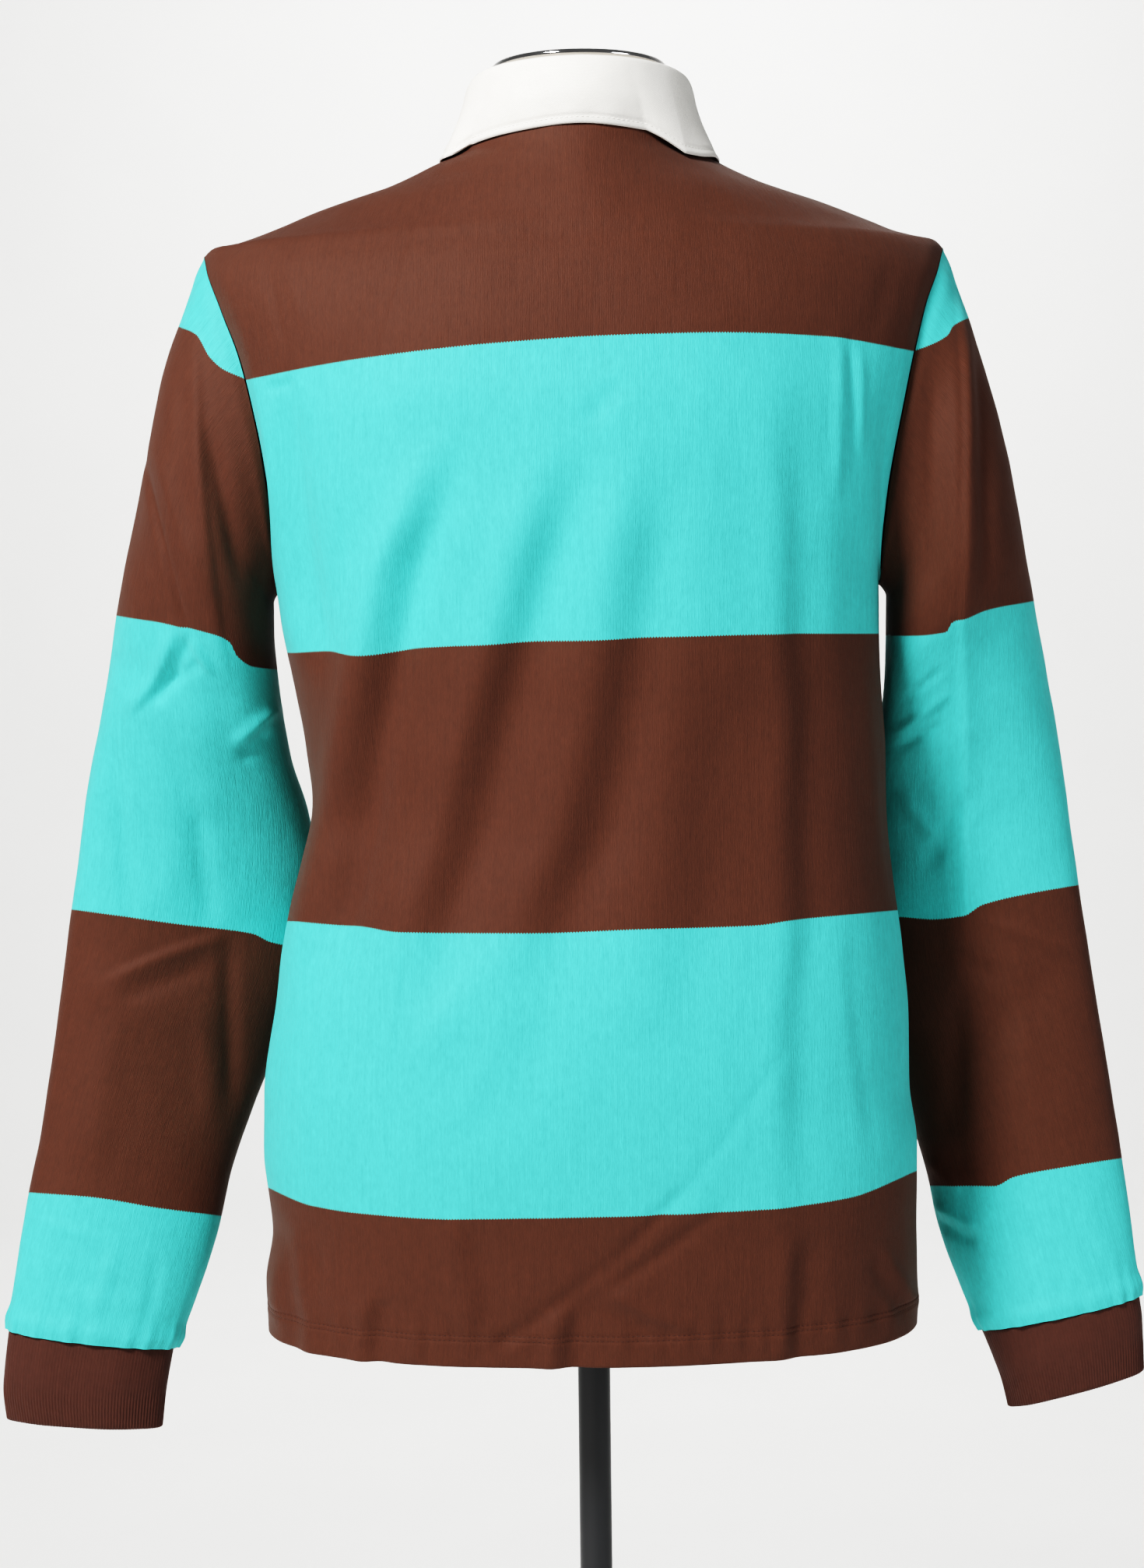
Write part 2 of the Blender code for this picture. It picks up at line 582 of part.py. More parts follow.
def collar_fall(name, columns, rows, collection):
    """The turned-down leaf: over the fold, then down to its lower edge."""
    degrees = np.linspace(-FALL_END, FALL_END, 2 * columns + 1)
    top = fold_line(degrees)
    out = unit(top * np.array([1.0, 1.0, 0.0]))
    up = np.array([0.0, 0.0, 1.0])
    top = top + out * front_lap(degrees)[:, None]
    over = ((-0.0012, 0.0010), (0.0002, 0.0020), (0.0018, 0.0014), (0.0030, -0.0008))
    points = [top + out * reach + up * lift for reach, lift in over]
    low = fall_edge(degrees)
    for share in np.linspace(0, 1, rows + 1)[1:]:
        start = top + out * 0.0030 - up * 0.0008
        belly = 0.0030 * math.sin(math.pi * share)
        points.append(start * (1 - share) + low * share + out * belly)
    points = np.array(points)
    normals = grid_normals(points, False)
    if (normals[-2] * out).sum() < 0:
        normals = -normals
    return wall(name, points, normals, TWILL, "white_twill", collection)


def collar_stand(name, collection):
    """The upright band from the neck edge to just under the fold, lapped at the front."""
    inside = np.arange(-180, 181, NECK_STEP)
    degrees = np.concatenate([[-STAND_END], inside, [STAND_END]]).astype(float)
    low = neck_ring(degrees)
    top = fold_line(degrees)
    out = unit(top * np.array([1.0, 1.0, 0.0]))
    lap = front_lap(degrees) * np.sign(degrees)
    low = low + np.array([0.0, 0.0, 2 * SEAM]) + out * lap[:, None]
    top = top - np.array([0.0, 0.0, STAND_DROP]) + out * lap[:, None]
    points = np.array([low, low * 0.5 + top * 0.5, top])
    normals = np.repeat(out[None], 3, axis=0)
    return wall(name, points, normals, TWILL, "white_twill", collection)


def placket_band(name, half, bottom_z, lift, rows, columns, collection):
    """Strip down the centre front, made of the front's own surface moved out by lift."""
    x = np.linspace(-half, half, columns + 1)[None, :]
    share = np.linspace(0, 1, rows + 1)[:, None]
    top = neck(np.arcsin(np.abs(x) / NECK_HALF), -1, 1.0)[..., 2]
    z = bottom_z + (top - 2 * SEAM - 1.3 * lift - bottom_z) * share
    points = np.stack([x + 0 * z, body_y(x + 0 * z, z, -1), z], -1)
    normals = grid_normals(points, False)
    if normals[..., 1].sum() > 0:
        normals = -normals
    points = points + normals * lift
    points[..., 1] -= SEAM / 2
    return wall(name, points, normals, TWILL, "white_twill", collection)


def cut_placket_slot(front, cutters):
    """Opens the front at its centre line from the placket's foot to the neck."""
    bpy.ops.mesh.primitive_cube_add(size=1)
    cutter = bpy.context.object
    cutter.name = "placket_slot_cutter"
    height = 0.3
    cutter.scale = (2 * PLACKET_HALF, 0.12, height)
    cutter.location = (0, -0.10, PLACKET_BOTTOM_Z + height / 2)
    for owner in list(cutter.users_collection):
        owner.objects.unlink(cutter)
    cutters.objects.link(cutter)
    cutter.hide_render = True
    cutter.display_type = "WIRE"
    cut = front.modifiers.new("placket slot", "BOOLEAN")
    cut.operation = "DIFFERENCE"
    cut.object = cutter


def button(name, z, collection):
    """Round button on the placket's top band, facing along the band's normal."""
    step = 0.002
    y = body_y(0.0, z, -1)
    slope = (body_y(0.0, z + step, -1) - body_y(0.0, z - step, -1)) / (2 * step)
    normal = unit(np.array([0.0, -1.0, slope]))
    lift = PLACKET_LIFT + 1.5 * SEAM + BUTTON_THICK / 2
    centre = np.array([0.0, y, z]) + normal * lift
    mesh = bpy.data.meshes.new(name)
    work = bmesh.new()
    bmesh.ops.create_cone(
        work,
        cap_ends=True,
        segments=20,
        radius1=BUTTON_RADIUS,
        radius2=BUTTON_RADIUS,
        depth=BUTTON_THICK,
    )
    work.to_mesh(mesh)
    work.free()
    made = add_object(name, mesh, "white_button", collection)
    made.location = centre
    made.rotation_euler = (math.atan2(-normal[1], normal[2]), 0, 0)
    bevel = made.modifiers.new("edge", "BEVEL")
    bevel.width = 0.0006
    bevel.segments = 1
    return made


def form_rings():
    """Rings of the torso from its flat bottom to the neck's flat top."""
    heights = list(FORM_SECTIONS[:, 0])
    turns = np.linspace(0, 2 * math.pi, FORM_AROUND, endpoint=False)
    rings = []
    for z in heights:
        half, back, front = smooth(FORM_SECTIONS[:, 0], FORM_SECTIONS[:, 1:], z)
        power = 2.25
        rings.append(form_ring(turns, half, half, back, front, power, z))
    for z in FORM_SHOULDER_LEVELS:
        lifted = z + FORM_REST
        left = min(float(section("left", lifted)) - 0.0015, 0.1790)
        right = min(float(section("right", lifted)) - 0.0015, 0.1790)
        back = float(section("back", lifted)) - FORM_INSIDE
        front = float(section("front", lifted)) - FORM_INSIDE
        power = float(section("power", lifted))
        rings.append(form_ring(turns, left, right, back, front, power, z))
    for z, spread in ((1.4660, 0.0030), (1.4800, 0.0008), (1.4950, 0.0), (FORM_TOP_Z, 0.0)):
        half = FORM_NECK_HALF + spread
        rings.append(
            form_ring(turns, half, half, FORM_NECK_BACK + spread / 2, FORM_NECK_FRONT, 2.0, z)
        )
    return np.array(rings)


def form_ring(turns, left, right, back, front, power, z):
    c, s = np.cos(turns), np.sin(turns)
    x = np.where(c >= 0, left, right) * np.sign(c) * np.abs(c) ** (2 / power)
    y = np.where(s >= 0, back, front) * np.sign(s) * np.abs(s) ** (2 / power)
    return np.stack([x, y, np.full_like(x, z)], -1)


def dress_form(name, collection):
    rings = form_rings()
    rows, cols = rings.shape[:2]
    faces = []
    for r in range(rows - 1):
        for c in range(cols):
            d = (c + 1) % cols
            faces.append((r * cols + c, r * cols + d, (r + 1) * cols + d, (r + 1) * cols + c))
    faces.append(tuple(range(cols))[::-1])
    faces.append(tuple((rows - 1) * cols + c for c in range(cols)))
    mesh = bpy.data.meshes.new(name)
    mesh.from_pydata(rings.reshape(-1, 3).tolist(), [], faces)
    return add_object(name, mesh, "beige_linen", collection)


def turned(name, profile, finish, collection, closed=False):
    """Solid turned about the mast's axis; the profile runs down its outer side."""
    mesh = bpy.data.meshes.new(name)
    points = [(radius, 0.0, z) for radius, z in profile]
    edges = [(i, i + 1) for i in range(len(points) - 1)]
    if closed:
        edges.append((len(points) - 1, 0))
    mesh.from_pydata(points, edges, [])
    made = add_object(name, mesh, finish, collection)
    screw = made.modifiers.new("turn", "SCREW")
    screw.steps = ROUND_STEPS
    screw.render_steps = ROUND_STEPS
    screw.use_merge_vertices = True
    screw.merge_threshold = 0.00001
    return made


def neck_cap(collection):
    low = FORM_TOP_Z + SEAM
    edge = 0.0012
    profile = (
        (0.0, low + CAP_THICK + CAP_DOME),
        (CAP_RADIUS * 0.45, low + CAP_THICK + CAP_DOME * 0.78),
        (CAP_RADIUS * 0.82, low + CAP_THICK + CAP_DOME * 0.28),
        (CAP_RADIUS - edge, low + CAP_THICK),
        (CAP_RADIUS, low + CAP_THICK - edge),
        (CAP_RADIUS, low + edge),
        (CAP_RADIUS - edge, low),
        (0.0, low),
    )
    turned("neck_cap", profile, "chrome", collection)


def mast(collection):
    top = FORM_SECTIONS[0, 0] - SEAM
    pole = (
        (0.0, top),
        (FLANGE_RADIUS, top),
        (FLANGE_RADIUS, top - FLANGE_THICK),
        (POLE_RADIUS, top - FLANGE_THICK),
        (POLE_RADIUS, POLE_BOTTOM_Z),
        (0.0, POLE_BOTTOM_Z),
    )
    turned("pole", pole, "black_metal", collection)
    lock_low = LOCK_TOP_Z - LOCK_HEIGHT
    tube = (
        (TUBE_BORE, lock_low - SEAM),
        (TUBE_RADIUS, lock_low - SEAM),
        (TUBE_RADIUS, BOSS_TOP_Z + SEAM),
        (TUBE_BORE, BOSS_TOP_Z + SEAM),
    )
    turned("stand_tube", tube, "black_metal", collection, closed=True)
    edge = 0.0022
    lock = (
        (LOCK_BORE, LOCK_TOP_Z),
        (LOCK_RADIUS - edge, LOCK_TOP_Z),
        (LOCK_RADIUS - edge * 0.3, LOCK_TOP_Z - edge * 0.3),
        (LOCK_RADIUS, LOCK_TOP_Z - edge),
        (LOCK_RADIUS, lock_low + edge * 0.5),
        (LOCK_RADIUS - edge * 0.5, lock_low),
        (LOCK_BORE, lock_low),
    )
    turned("lock_collar", lock, "chrome", collection, closed=True)
    base = (
        (0.0, BOSS_TOP_Z),
        (BOSS_RADIUS - 0.004, BOSS_TOP_Z),
        (BOSS_RADIUS, BOSS_TOP_Z - 0.004),
        (BOSS_RADIUS + 0.004, BASE_THICK + 0.006),
        (BASE_RADIUS * 0.55, BASE_THICK + 0.002),
        (BASE_RADIUS - 0.003, BASE_THICK),
        (BASE_RADIUS, BASE_THICK - 0.003),
        (BASE_RADIUS, 0.0),
        (0.0, 0.0),
    )
    turned("base_plate", base, "black_metal", collection)


def main():
    for old in list(bpy.data.objects):
        bpy.data.objects.remove(old, do_unlink=True)
    parts = bpy.data.collections.new("rugby_shirt_on_dress_form")
    cutters = bpy.data.collections.new("cutters")
    bpy.context.scene.collection.children.link(parts)
    bpy.context.scene.collection.children.link(cutters)
    panel("back_panel", 1, 12, 13, 12, BACK_FOLDS, parts)
    front = panel("front_panel", -1, 12, 13, 12, FRONT_FOLDS, parts)
    cut_placket_slot(front, cutters)
    sleeve("sleeve_left", LEFT_SLEEVE, LEFT_SLEEVE_FOLDS, 1, 24, 19, parts)
    sleeve("sleeve_right", RIGHT_SLEEVE, RIGHT_SLEEVE_FOLDS, -1, 24, 19, parts)
    cuff("cuff_left", LEFT_CUFF, 1, 24, 4, parts)
    cuff("cuff_right", RIGHT_CUFF, -1, 24, 4, parts)
    collar_fall("collar_fall", 16, 4, parts)
    collar_stand("collar_stand", parts)
    under_bottom = PLACKET_BOTTOM_Z + SEAM
    placket_band("placket_under", PLACKET_HALF - SEAM, under_bottom, 0.0, 12, 2, parts)
    top_half = PLACKET_HALF + PLACKET_MARGIN
    top_bottom = PLACKET_BOTTOM_Z - 2 * PLACKET_MARGIN
    placket_band("placket_top", top_half, top_bottom, PLACKET_LIFT, 12, 4, parts)
    for number, z in enumerate(BUTTON_HEIGHTS, 1):
        button(f"button_{number}", z, parts)
    dress_form("form_torso", parts)
    neck_cap(parts)
    mast(parts)


main()
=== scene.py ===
"""Looks of the rugby shirt on its dress form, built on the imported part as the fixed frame.

Metres, +Z up, the shirt's back faces +Y. Every cloth piece is a thin shell on the form of its
solid, with finer rows, the smaller creases, its stripes, its sewing and a knitted surface.
"""

import math

import bpy
import numpy as np
from mathutils import Matrix, Vector
from mathutils.bvhtree import BVHTree


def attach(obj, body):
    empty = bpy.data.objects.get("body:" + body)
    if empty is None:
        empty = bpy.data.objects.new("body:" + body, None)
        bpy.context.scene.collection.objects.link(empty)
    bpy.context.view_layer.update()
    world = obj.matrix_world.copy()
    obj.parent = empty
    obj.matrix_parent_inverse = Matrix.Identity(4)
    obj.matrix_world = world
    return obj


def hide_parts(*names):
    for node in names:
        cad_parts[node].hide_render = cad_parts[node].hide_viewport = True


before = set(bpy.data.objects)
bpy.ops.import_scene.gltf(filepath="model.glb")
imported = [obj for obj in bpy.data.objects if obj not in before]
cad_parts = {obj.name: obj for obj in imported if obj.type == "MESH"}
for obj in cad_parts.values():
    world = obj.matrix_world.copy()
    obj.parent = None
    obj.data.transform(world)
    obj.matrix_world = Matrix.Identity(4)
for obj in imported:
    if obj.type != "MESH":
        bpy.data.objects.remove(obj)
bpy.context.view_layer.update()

# ---- Camera, at the photograph's place ----
PICTURE = (1470, 2014)  # its width and height in pixels
FOCAL = 3733.0  # in the same pixels
CAMERA_AT = (0.0094, 1.79, 1.143)
EYE_LEVEL = 137  # pixels by which the camera's own height shows above the picture's middle
PITCH = math.atan(EYE_LEVEL / FOCAL)
ROLL = math.radians(0.68)

# ---- Cloth ----
JERSEY = 0.0016
RIB = 0.0022
TWILL = 0.0016
SEAM = 0.0003  # gap between two pieces at a seam

# ---- Body of the shirt ----
HEM_Z = 0.7440
HEM_DROP = 0.0045  # the hem hangs this much lower at the centre than at the slits
SLIT_Z = 0.803  # top of the side slits
SLIT_GAPE = 0.0035  # how far each edge of a slit stands from the side line at the hem
SLIT_CURVE = 0.8  # below 1, a slit opens faster near its top
ARMPIT_Z = 1.200
TIP_Z = 1.403  # shoulder tip, where the armhole crosses the shoulder line
NECK_HALF = 0.0755
BACK_NECK_Z = 1.475
FRONT_NECK_Z = 1.405
ARMHOLE_BACK = 0.055  # deepest point of the armhole behind the side line
ARMHOLE_FRONT = 0.060
ARMPIT_V = 0.6  # share of a panel's rows that lie below the armpit
NECK_U = 0.5  # share of a panel's half width that ends on the neck curve

# ---- Body sections: half widths to the wearer's left and right, depths, roundness ----
SECTION_COLUMNS = ("height", "left", "right", "back", "front", "power")
BODY_SECTIONS = np.array(
    [
        (0.7380, 0.2006, 0.1992, 0.1025, 0.1035, 2.30),
        (0.7750, 0.2016, 0.2002, 0.1060, 0.1060, 2.30),
        (0.8050, 0.1976, 0.2002, 0.1090, 0.1080, 2.30),
        (0.8530, 0.2020, 0.2006, 0.1150, 0.1110, 2.30),
        (0.8910, 0.2010, 0.1964, 0.1190, 0.1130, 2.30),
        (0.9430, 0.1928, 0.1946, 0.1210, 0.1130, 2.30),
        (0.9790, 0.1862, 0.1921, 0.1190, 0.1120, 2.30),
        (1.0330, 0.1735, 0.1858, 0.1150, 0.1120, 2.30),
        (1.0630, 0.1662, 0.1838, 0.1140, 0.1130, 2.30),
        (1.0990, 0.1714, 0.1830, 0.1150, 0.1160, 2.30),
        (1.1580, 0.1820, 0.1805, 0.1200, 0.1230, 2.30),
        (1.2000, 0.1868, 0.1801, 0.1250, 0.1280, 2.30),
        (1.2420, 0.1958, 0.1882, 0.1290, 0.1310, 2.30),
        (1.2970, 0.2093, 0.2030, 0.1310, 0.1285, 2.25),
        (1.3390, 0.2213, 0.2137, 0.1265, 0.1170, 2.15),
        (1.3650, 0.2302, 0.2195, 0.1210, 0.1070, 2.05),
        (1.3880, 0.2351, 0.2246, 0.1130, 0.0945, 1.90),
        (1.3990, 0.2330, 0.2235, 0.1080, 0.0875, 1.80),
        (1.4050, 0.2285, 0.2195, 0.1060, 0.0835, 1.72),
        (1.4080, 0.2165, 0.2080, 0.1050, 0.0815, 1.68),
        (1.4120, 0.2035, 0.1940, 0.1030, 0.0795, 1.65),
        (1.4190, 0.1850, 0.1775, 0.1000, 0.0755, 1.60),
        (1.4290, 0.1605, 0.1525, 0.0950, 0.0700, 1.58),
        (1.4420, 0.1200, 0.1135, 0.0870, 0.0635, 1.62),
        (1.4520, 0.0965, 0.0905, 0.0810, 0.0585, 1.72),
        (1.4600, 0.0790, 0.0770, 0.0770, 0.0555, 1.80),
        (1.4690, 0.0725, 0.0720, 0.0735, 0.0525, 1.92),
        (1.4780, 0.0695, 0.0690, 0.0695, 0.0500, 2.00),
        (1.4850, 0.0660, 0.0655, 0.0660, 0.0480, 2.00),
    ]
)

# ---- Broad folds: from and to (x, height), half width, rise (a trough is negative) ----
FRONT_FOLDS = (
    (0.165, 1.300, 0.120, 1.160, 0.020, -0.0048),
    (-0.165, 1.300, -0.128, 1.150, 0.018, -0.0044),
    (0.070, 1.230, 0.140, 1.060, 0.026, 0.0048),
    (-0.075, 1.200, -0.130, 1.020, 0.026, 0.0050),
    (0.100, 1.030, 0.112, 0.850, 0.024, -0.0042),
    (-0.105, 1.000, -0.095, 0.830, 0.024, -0.0040),
)

# ---- Sleeves: x, y, z of each ring's outer end and of its inner end, and half its depth ----
LEFT_SLEEVE = (
    (0.2562, -0.002, 1.3314, 0.1925, -0.002, 1.1890, 0.0590),
    (0.2708, -0.006, 1.2672, 0.1925, -0.006, 1.1710, 0.0610),
    (0.2821, -0.010, 1.2200, 0.1910, -0.010, 1.1500, 0.0590),
    (0.2905, -0.014, 1.1809, 0.1895, -0.018, 1.1310, 0.0540),
    (0.3008, -0.020, 1.1286, 0.1850, -0.036, 1.0950, 0.0460),
    (0.3098, -0.025, 1.0900, 0.1770, -0.054, 1.0600, 0.0400),
    (0.3163, -0.030, 1.0540, 0.1725, -0.064, 1.0240, 0.0360),
    (0.3260, -0.036, 0.9980, 0.1760, -0.072, 0.9660, 0.0330),
    (0.3345, -0.038, 0.9396, 0.2010, -0.068, 0.9095, 0.0310),
    (0.3475, -0.036, 0.8590, 0.2290, -0.054, 0.8328, 0.0280),
    (0.3560, -0.034, 0.8195, 0.2375, -0.048, 0.7940, 0.0260),
    (0.3700, -0.030, 0.7369, 0.2635, -0.040, 0.7219, 0.0215),
)
RIGHT_SLEEVE = (
    (0.2447, -0.002, 1.3314, 0.1865, -0.002, 1.1890, 0.0590),
    (0.2619, -0.006, 1.2672, 0.1865, -0.006, 1.1710, 0.0610),
    (0.2715, -0.010, 1.2200, 0.1865, -0.012, 1.1500, 0.0580),
    (0.2801, -0.016, 1.1790, 0.1860, -0.026, 1.1290, 0.0530),
    (0.2908, -0.024, 1.1250, 0.1840, -0.048, 1.0920, 0.0450),
    (0.2979, -0.029, 1.0860, 0.1800, -0.064, 1.0560, 0.0390),
    (0.3032, -0.034, 1.0520, 0.1750, -0.072, 1.0200, 0.0350),
    (0.3112, -0.038, 0.9940, 0.1730, -0.078, 0.9620, 0.0320),
    (0.3200, -0.040, 0.9360, 0.1900, -0.074, 0.9060, 0.0300),
    (0.3320, -0.038, 0.8610, 0.2140, -0.060, 0.8285, 0.0280),
    (0.3385, -0.036, 0.8180, 0.2220, -0.054, 0.7890, 0.0260),
    (0.3465, -0.032, 0.7497, 0.2450, -0.046, 0.7258, 0.0215),
)
SLEEVE_POWER = 2.15
LEFT_CUFF = (
    (0.3685, -0.030, 0.7361, 0.2665, -0.040, 0.7212, 0.0200),
    (0.3715, -0.031, 0.7150, 0.2700, -0.040, 0.7040, 0.0205),
    (0.3730, -0.032, 0.6980, 0.2725, -0.041, 0.6900, 0.0200),
    (0.3715, -0.033, 0.6795, 0.2745, -0.042, 0.6715, 0.0180),
)
RIGHT_CUFF = (
    (0.3455, -0.032, 0.7488, 0.2475, -0.046, 0.7250, 0.0200),
    (0.3475, -0.033, 0.7340, 0.2545, -0.046, 0.7070, 0.0205),
    (0.3480, -0.034, 0.7190, 0.2600, -0.047, 0.6920, 0.0200),
    (0.3485, -0.035, 0.7015, 0.2640, -0.048, 0.6760, 0.0180),
)
LEFT_SLEEVE_FOLDS = (
    (0.247, 1.330, 0.226, 1.180, 0.013, 0.0036),
    (0.283, 1.260, 0.250, 1.165, 0.014, -0.0036),
    (0.300, 1.158, 0.215, 1.128, 0.012, -0.0040),
    (0.240, 1.150, 0.232, 1.060, 0.014, 0.0036),
    (0.310, 1.060, 0.235, 1.000, 0.018, -0.0040),
    (0.330, 0.960, 0.240, 0.930, 0.015, 0.0036),
)
RIGHT_SLEEVE_FOLDS = (
    (-0.222, 1.370, -0.228, 1.180, 0.012, 0.0042),
    (-0.228, 1.180, -0.243, 1.000, 0.013, 0.0036),
    (-0.262, 1.200, -0.208, 1.100, 0.014, -0.0036),
    (-0.300, 0.960, -0.225, 0.900, 0.018, -0.0038),
    (-0.225, 0.840, -0.250, 0.800, 0.010, -0.0028),
)

# ---- Collar: stand ring at the fold, and the lower edge of the fall by angle from the back ----
FOLD_HALF = 0.0665
FOLD_BACK = 0.0735
FOLD_FRONT = 0.0715
FOLD_HEIGHTS = ((0, 1.5053), (45, 1.5045), (90, 1.4985), (135, 1.4760), (180, 1.4520))
FALL_EDGE = (  # degrees from the back, x, y, z
    (0, 0.0000, 0.0880, 1.4656),
    (30, 0.0455, 0.0770, 1.4616),
    (60, 0.0750, 0.0480, 1.4575),
    (75, 0.0842, 0.0262, 1.4597),
    (90, 0.0872, 0.0000, 1.4612),
    (105, 0.0885, -0.0250, 1.4572),
    (120, 0.0880, -0.0480, 1.4430),
    (145, 0.0745, -0.0815, 1.4130),
    (168, 0.0480, -0.1085, 1.3720),
)
FALL_END = 168  # degrees from the back to a leaf's front edge
STAND_END = 190  # the stand's two ends pass each other at the front
STAND_LAP = 0.0013  # each end lies this far off the middle of their lap
LAP_FROM, LAP_RUN = 145, 25  # degrees from the back at which it leaves the middle, and its run
STAND_DROP = 0.0015  # the stand ends this far below the fold

# ---- Placket ----
PLACKET_HALF = 0.015
PLACKET_BOTTOM_Z = 1.225
PLACKET_MARGIN = 0.003  # how far the top band covers the slot's edges
PLACKET_LIFT = TWILL + 0.0007  # from the front's outer side to the top band's
BUTTON_RADIUS = 0.007
BUTTON_THICK = 0.0028
BUTTON_HEIGHTS = (1.385, 1.325, 1.265)

# ---- Dress form: height, half width, depths at the back and the front ----
FORM_SECTIONS = np.array(
    [
        (0.8000, 0.1480, 0.0830, 0.0820),
        (0.8120, 0.1560, 0.0900, 0.0880),
        (0.8700, 0.1640, 0.0990, 0.0930),
        (0.9400, 0.1600, 0.1000, 0.0920),
        (1.0300, 0.1450, 0.0930, 0.0900),
        (1.1200, 0.1530, 0.0960, 0.0990),
        (1.2000, 0.1660, 0.1060, 0.1090),
        (1.2700, 0.1750, 0.1120, 0.1130),
        (1.3300, 0.1790, 0.1110, 0.1050),
        (1.3750, 0.1790, 0.1060, 0.0920),
        (1.4000, 0.1770, 0.0990, 0.0800),
    ]
)
FORM_SHOULDER_LEVELS = (1.4080, 1.4130, 1.4190, 1.4270, 1.4360, 1.4450, 1.4540)
FORM_REST = 0.0021  # the form's shoulder lies this far below the shirt's outer shoulder line
FORM_INSIDE = 0.0090  # and this far inside the front and back there
FORM_NECK_HALF = 0.0600
FORM_NECK_BACK = 0.0620
FORM_NECK_FRONT = 0.0520
FORM_TOP_Z = 1.5150
FORM_AROUND = 28
FORM_POWER = 2.25  # roundness of the sections
FORM_SIDE_GAP = 0.0015  # from the form's shoulder to the shirt's side
FORM_WIDEST = 0.1790  # half the width of its shoulders at most
FORM_NECK = ((1.4660, 0.0030), (1.4800, 0.0008), (1.4950, 0.0), (FORM_TOP_Z, 0.0))  # height, flare

# ---- Neck cap, mast and stand ----
CAP_RADIUS = 0.0535
CAP_THICK = 0.0042
CAP_DOME = 0.0045
POLE_RADIUS = 0.0100
POLE_BOTTOM_Z = 0.300
FLANGE_RADIUS = 0.030
FLANGE_THICK = 0.004
TUBE_RADIUS = 0.0122
TUBE_BORE = 0.0104
LOCK_RADIUS = 0.0128
LOCK_BORE = 0.0101  # the lock collar clamps the pole
LOCK_TOP_Z = 0.5880
LOCK_HEIGHT = 0.032
BASE_RADIUS = 0.170
BASE_THICK = 0.008
BOSS_RADIUS = 0.026
BOSS_TOP_Z = 0.030

# ---- Stripes: their four edges as the photograph shows them, in its pixels ----
BACK_STRIPES = (
    ((318, 488), (400, 471), (480, 458), (640, 440), (790, 430), (940, 427), (1060, 432), (1174, 451)),
    ((376, 838), (420, 837), (474, 841), (547, 832), (660, 826), (818, 820), (1035, 814), (1132, 814)),
    ((379, 1185), (455, 1189), (520, 1198), (682, 1199), (818, 1194), (970, 1189), (1018, 1182),
     (1089, 1175), (1154, 1169)),
    ((343, 1525), (402, 1549), (480, 1560), (585, 1566), (788, 1563), (991, 1553), (1093, 1538),
     (1179, 1503)),
)
LEFT_SLEEVE_STRIPES = (
    ((229, 419), (253, 430), (269, 458), (288, 475), (319, 488), (350, 503)),
    ((150, 791), (229, 805), (277, 815), (296, 826), (304, 842), (324, 856), (364, 861), (400, 866)),
    ((93, 1168), (158, 1177), (237, 1188), (324, 1199), (348, 1210), (400, 1220)),
    ((40, 1532), (119, 1538), (205, 1552), (285, 1562), (300, 1564)),
)
RIGHT_SLEEVE_STRIPES = (
    ((1130, 462), (1179, 449), (1217, 431), (1224, 419), (1243, 409), (1256, 404)),
    ((1136, 816), (1175, 817), (1216, 812), (1223, 799), (1250, 790), (1329, 772)),
    ((1159, 1178), (1198, 1181), (1239, 1176), (1262, 1162), (1326, 1147), (1390, 1136)),
    ((1201, 1523), (1277, 1524), (1303, 1512), (1363, 1500), (1446, 1487)),
)
STRIPE_PIXELS = 360.0  # the height of a stripe beyond the first and the last edge
TOOTH = 0.0017  # one knitted stitch at a stripe's edge
TOOTH_RISE = 0.0009
STRIPE_STEP = 0.168  # the height of a stripe

# ---- Creases: from, to, bow (all in the photograph's pixels), half width, rise in mm, lean ----
BACK_CREASES = (
    # under the left armhole
    (342, 500, 376, 492, 0, 6, -1.6, 0.0),
    (409, 500, 449, 740, 6, 4, -0.7, 0.0),
    (420, 510, 440, 700, 0, 16, 1.2, 0.0),
    (800, 488, 752, 545, 0, 14, -1.2, 0.0),
    # the right side
    (1078, 432, 1076, 640, 0, 9, 1.6, 0.0),
    (1092, 430, 1098, 600, 0, 6, -1.1, 0.0),
    (1106, 440, 1106, 580, 0, 7, 1.1, 0.0),
    # the lower half
    (517, 1110, 494, 1400, 6, 5, 0.8, -0.5),
    (640, 1220, 530, 1370, 0, 28, 1.6, 0.3),
    (1010, 1340, 862, 1552, 6, 10, -0.7, 0.0),
    (884, 1524, 796, 1618, 0, 10, -1.7, 0.0),
    (810, 1604, 615, 1744, 4, 11, -1.8, 0.0),
    (940, 1545, 722, 1694, 4, 10, -1.6, 0.0),
    (764, 1648, 884, 1706, -4, 9, 1.9, 0.3),
    (752, 1668, 860, 1722, -4, 10, -1.4, 0.0),
    (1134, 1604, 1180, 1676, 0, 8, 1.6, 0.0),
    (1120, 1618, 1162, 1690, 0, 9, -1.4, 0.0),
    (372, 1590, 352, 1700, -6, 12, 2.4, 0.0),
    (408, 1600, 392, 1720, 0, 16, -1.4, 0.0),
    (470, 1690, 476, 1745, 0, 12, -1.2, 0.0),
    (540, 1700, 530, 1752, 0, 14, 1.0, 0.0),
    # the yoke
    (340, 330, 369, 452, 0, 6, -1.0, 0.0),
    (362, 320, 392, 420, 0, 9, 1.1, 0.0),
    (1150, 330, 1118, 440, 0, 14, -0.9, 0.0),
    (640, 260, 600, 380, 0, 40, 1.0, 0.0),
    (900, 280, 930, 400, 0, 44, -0.9, 0.0),
)
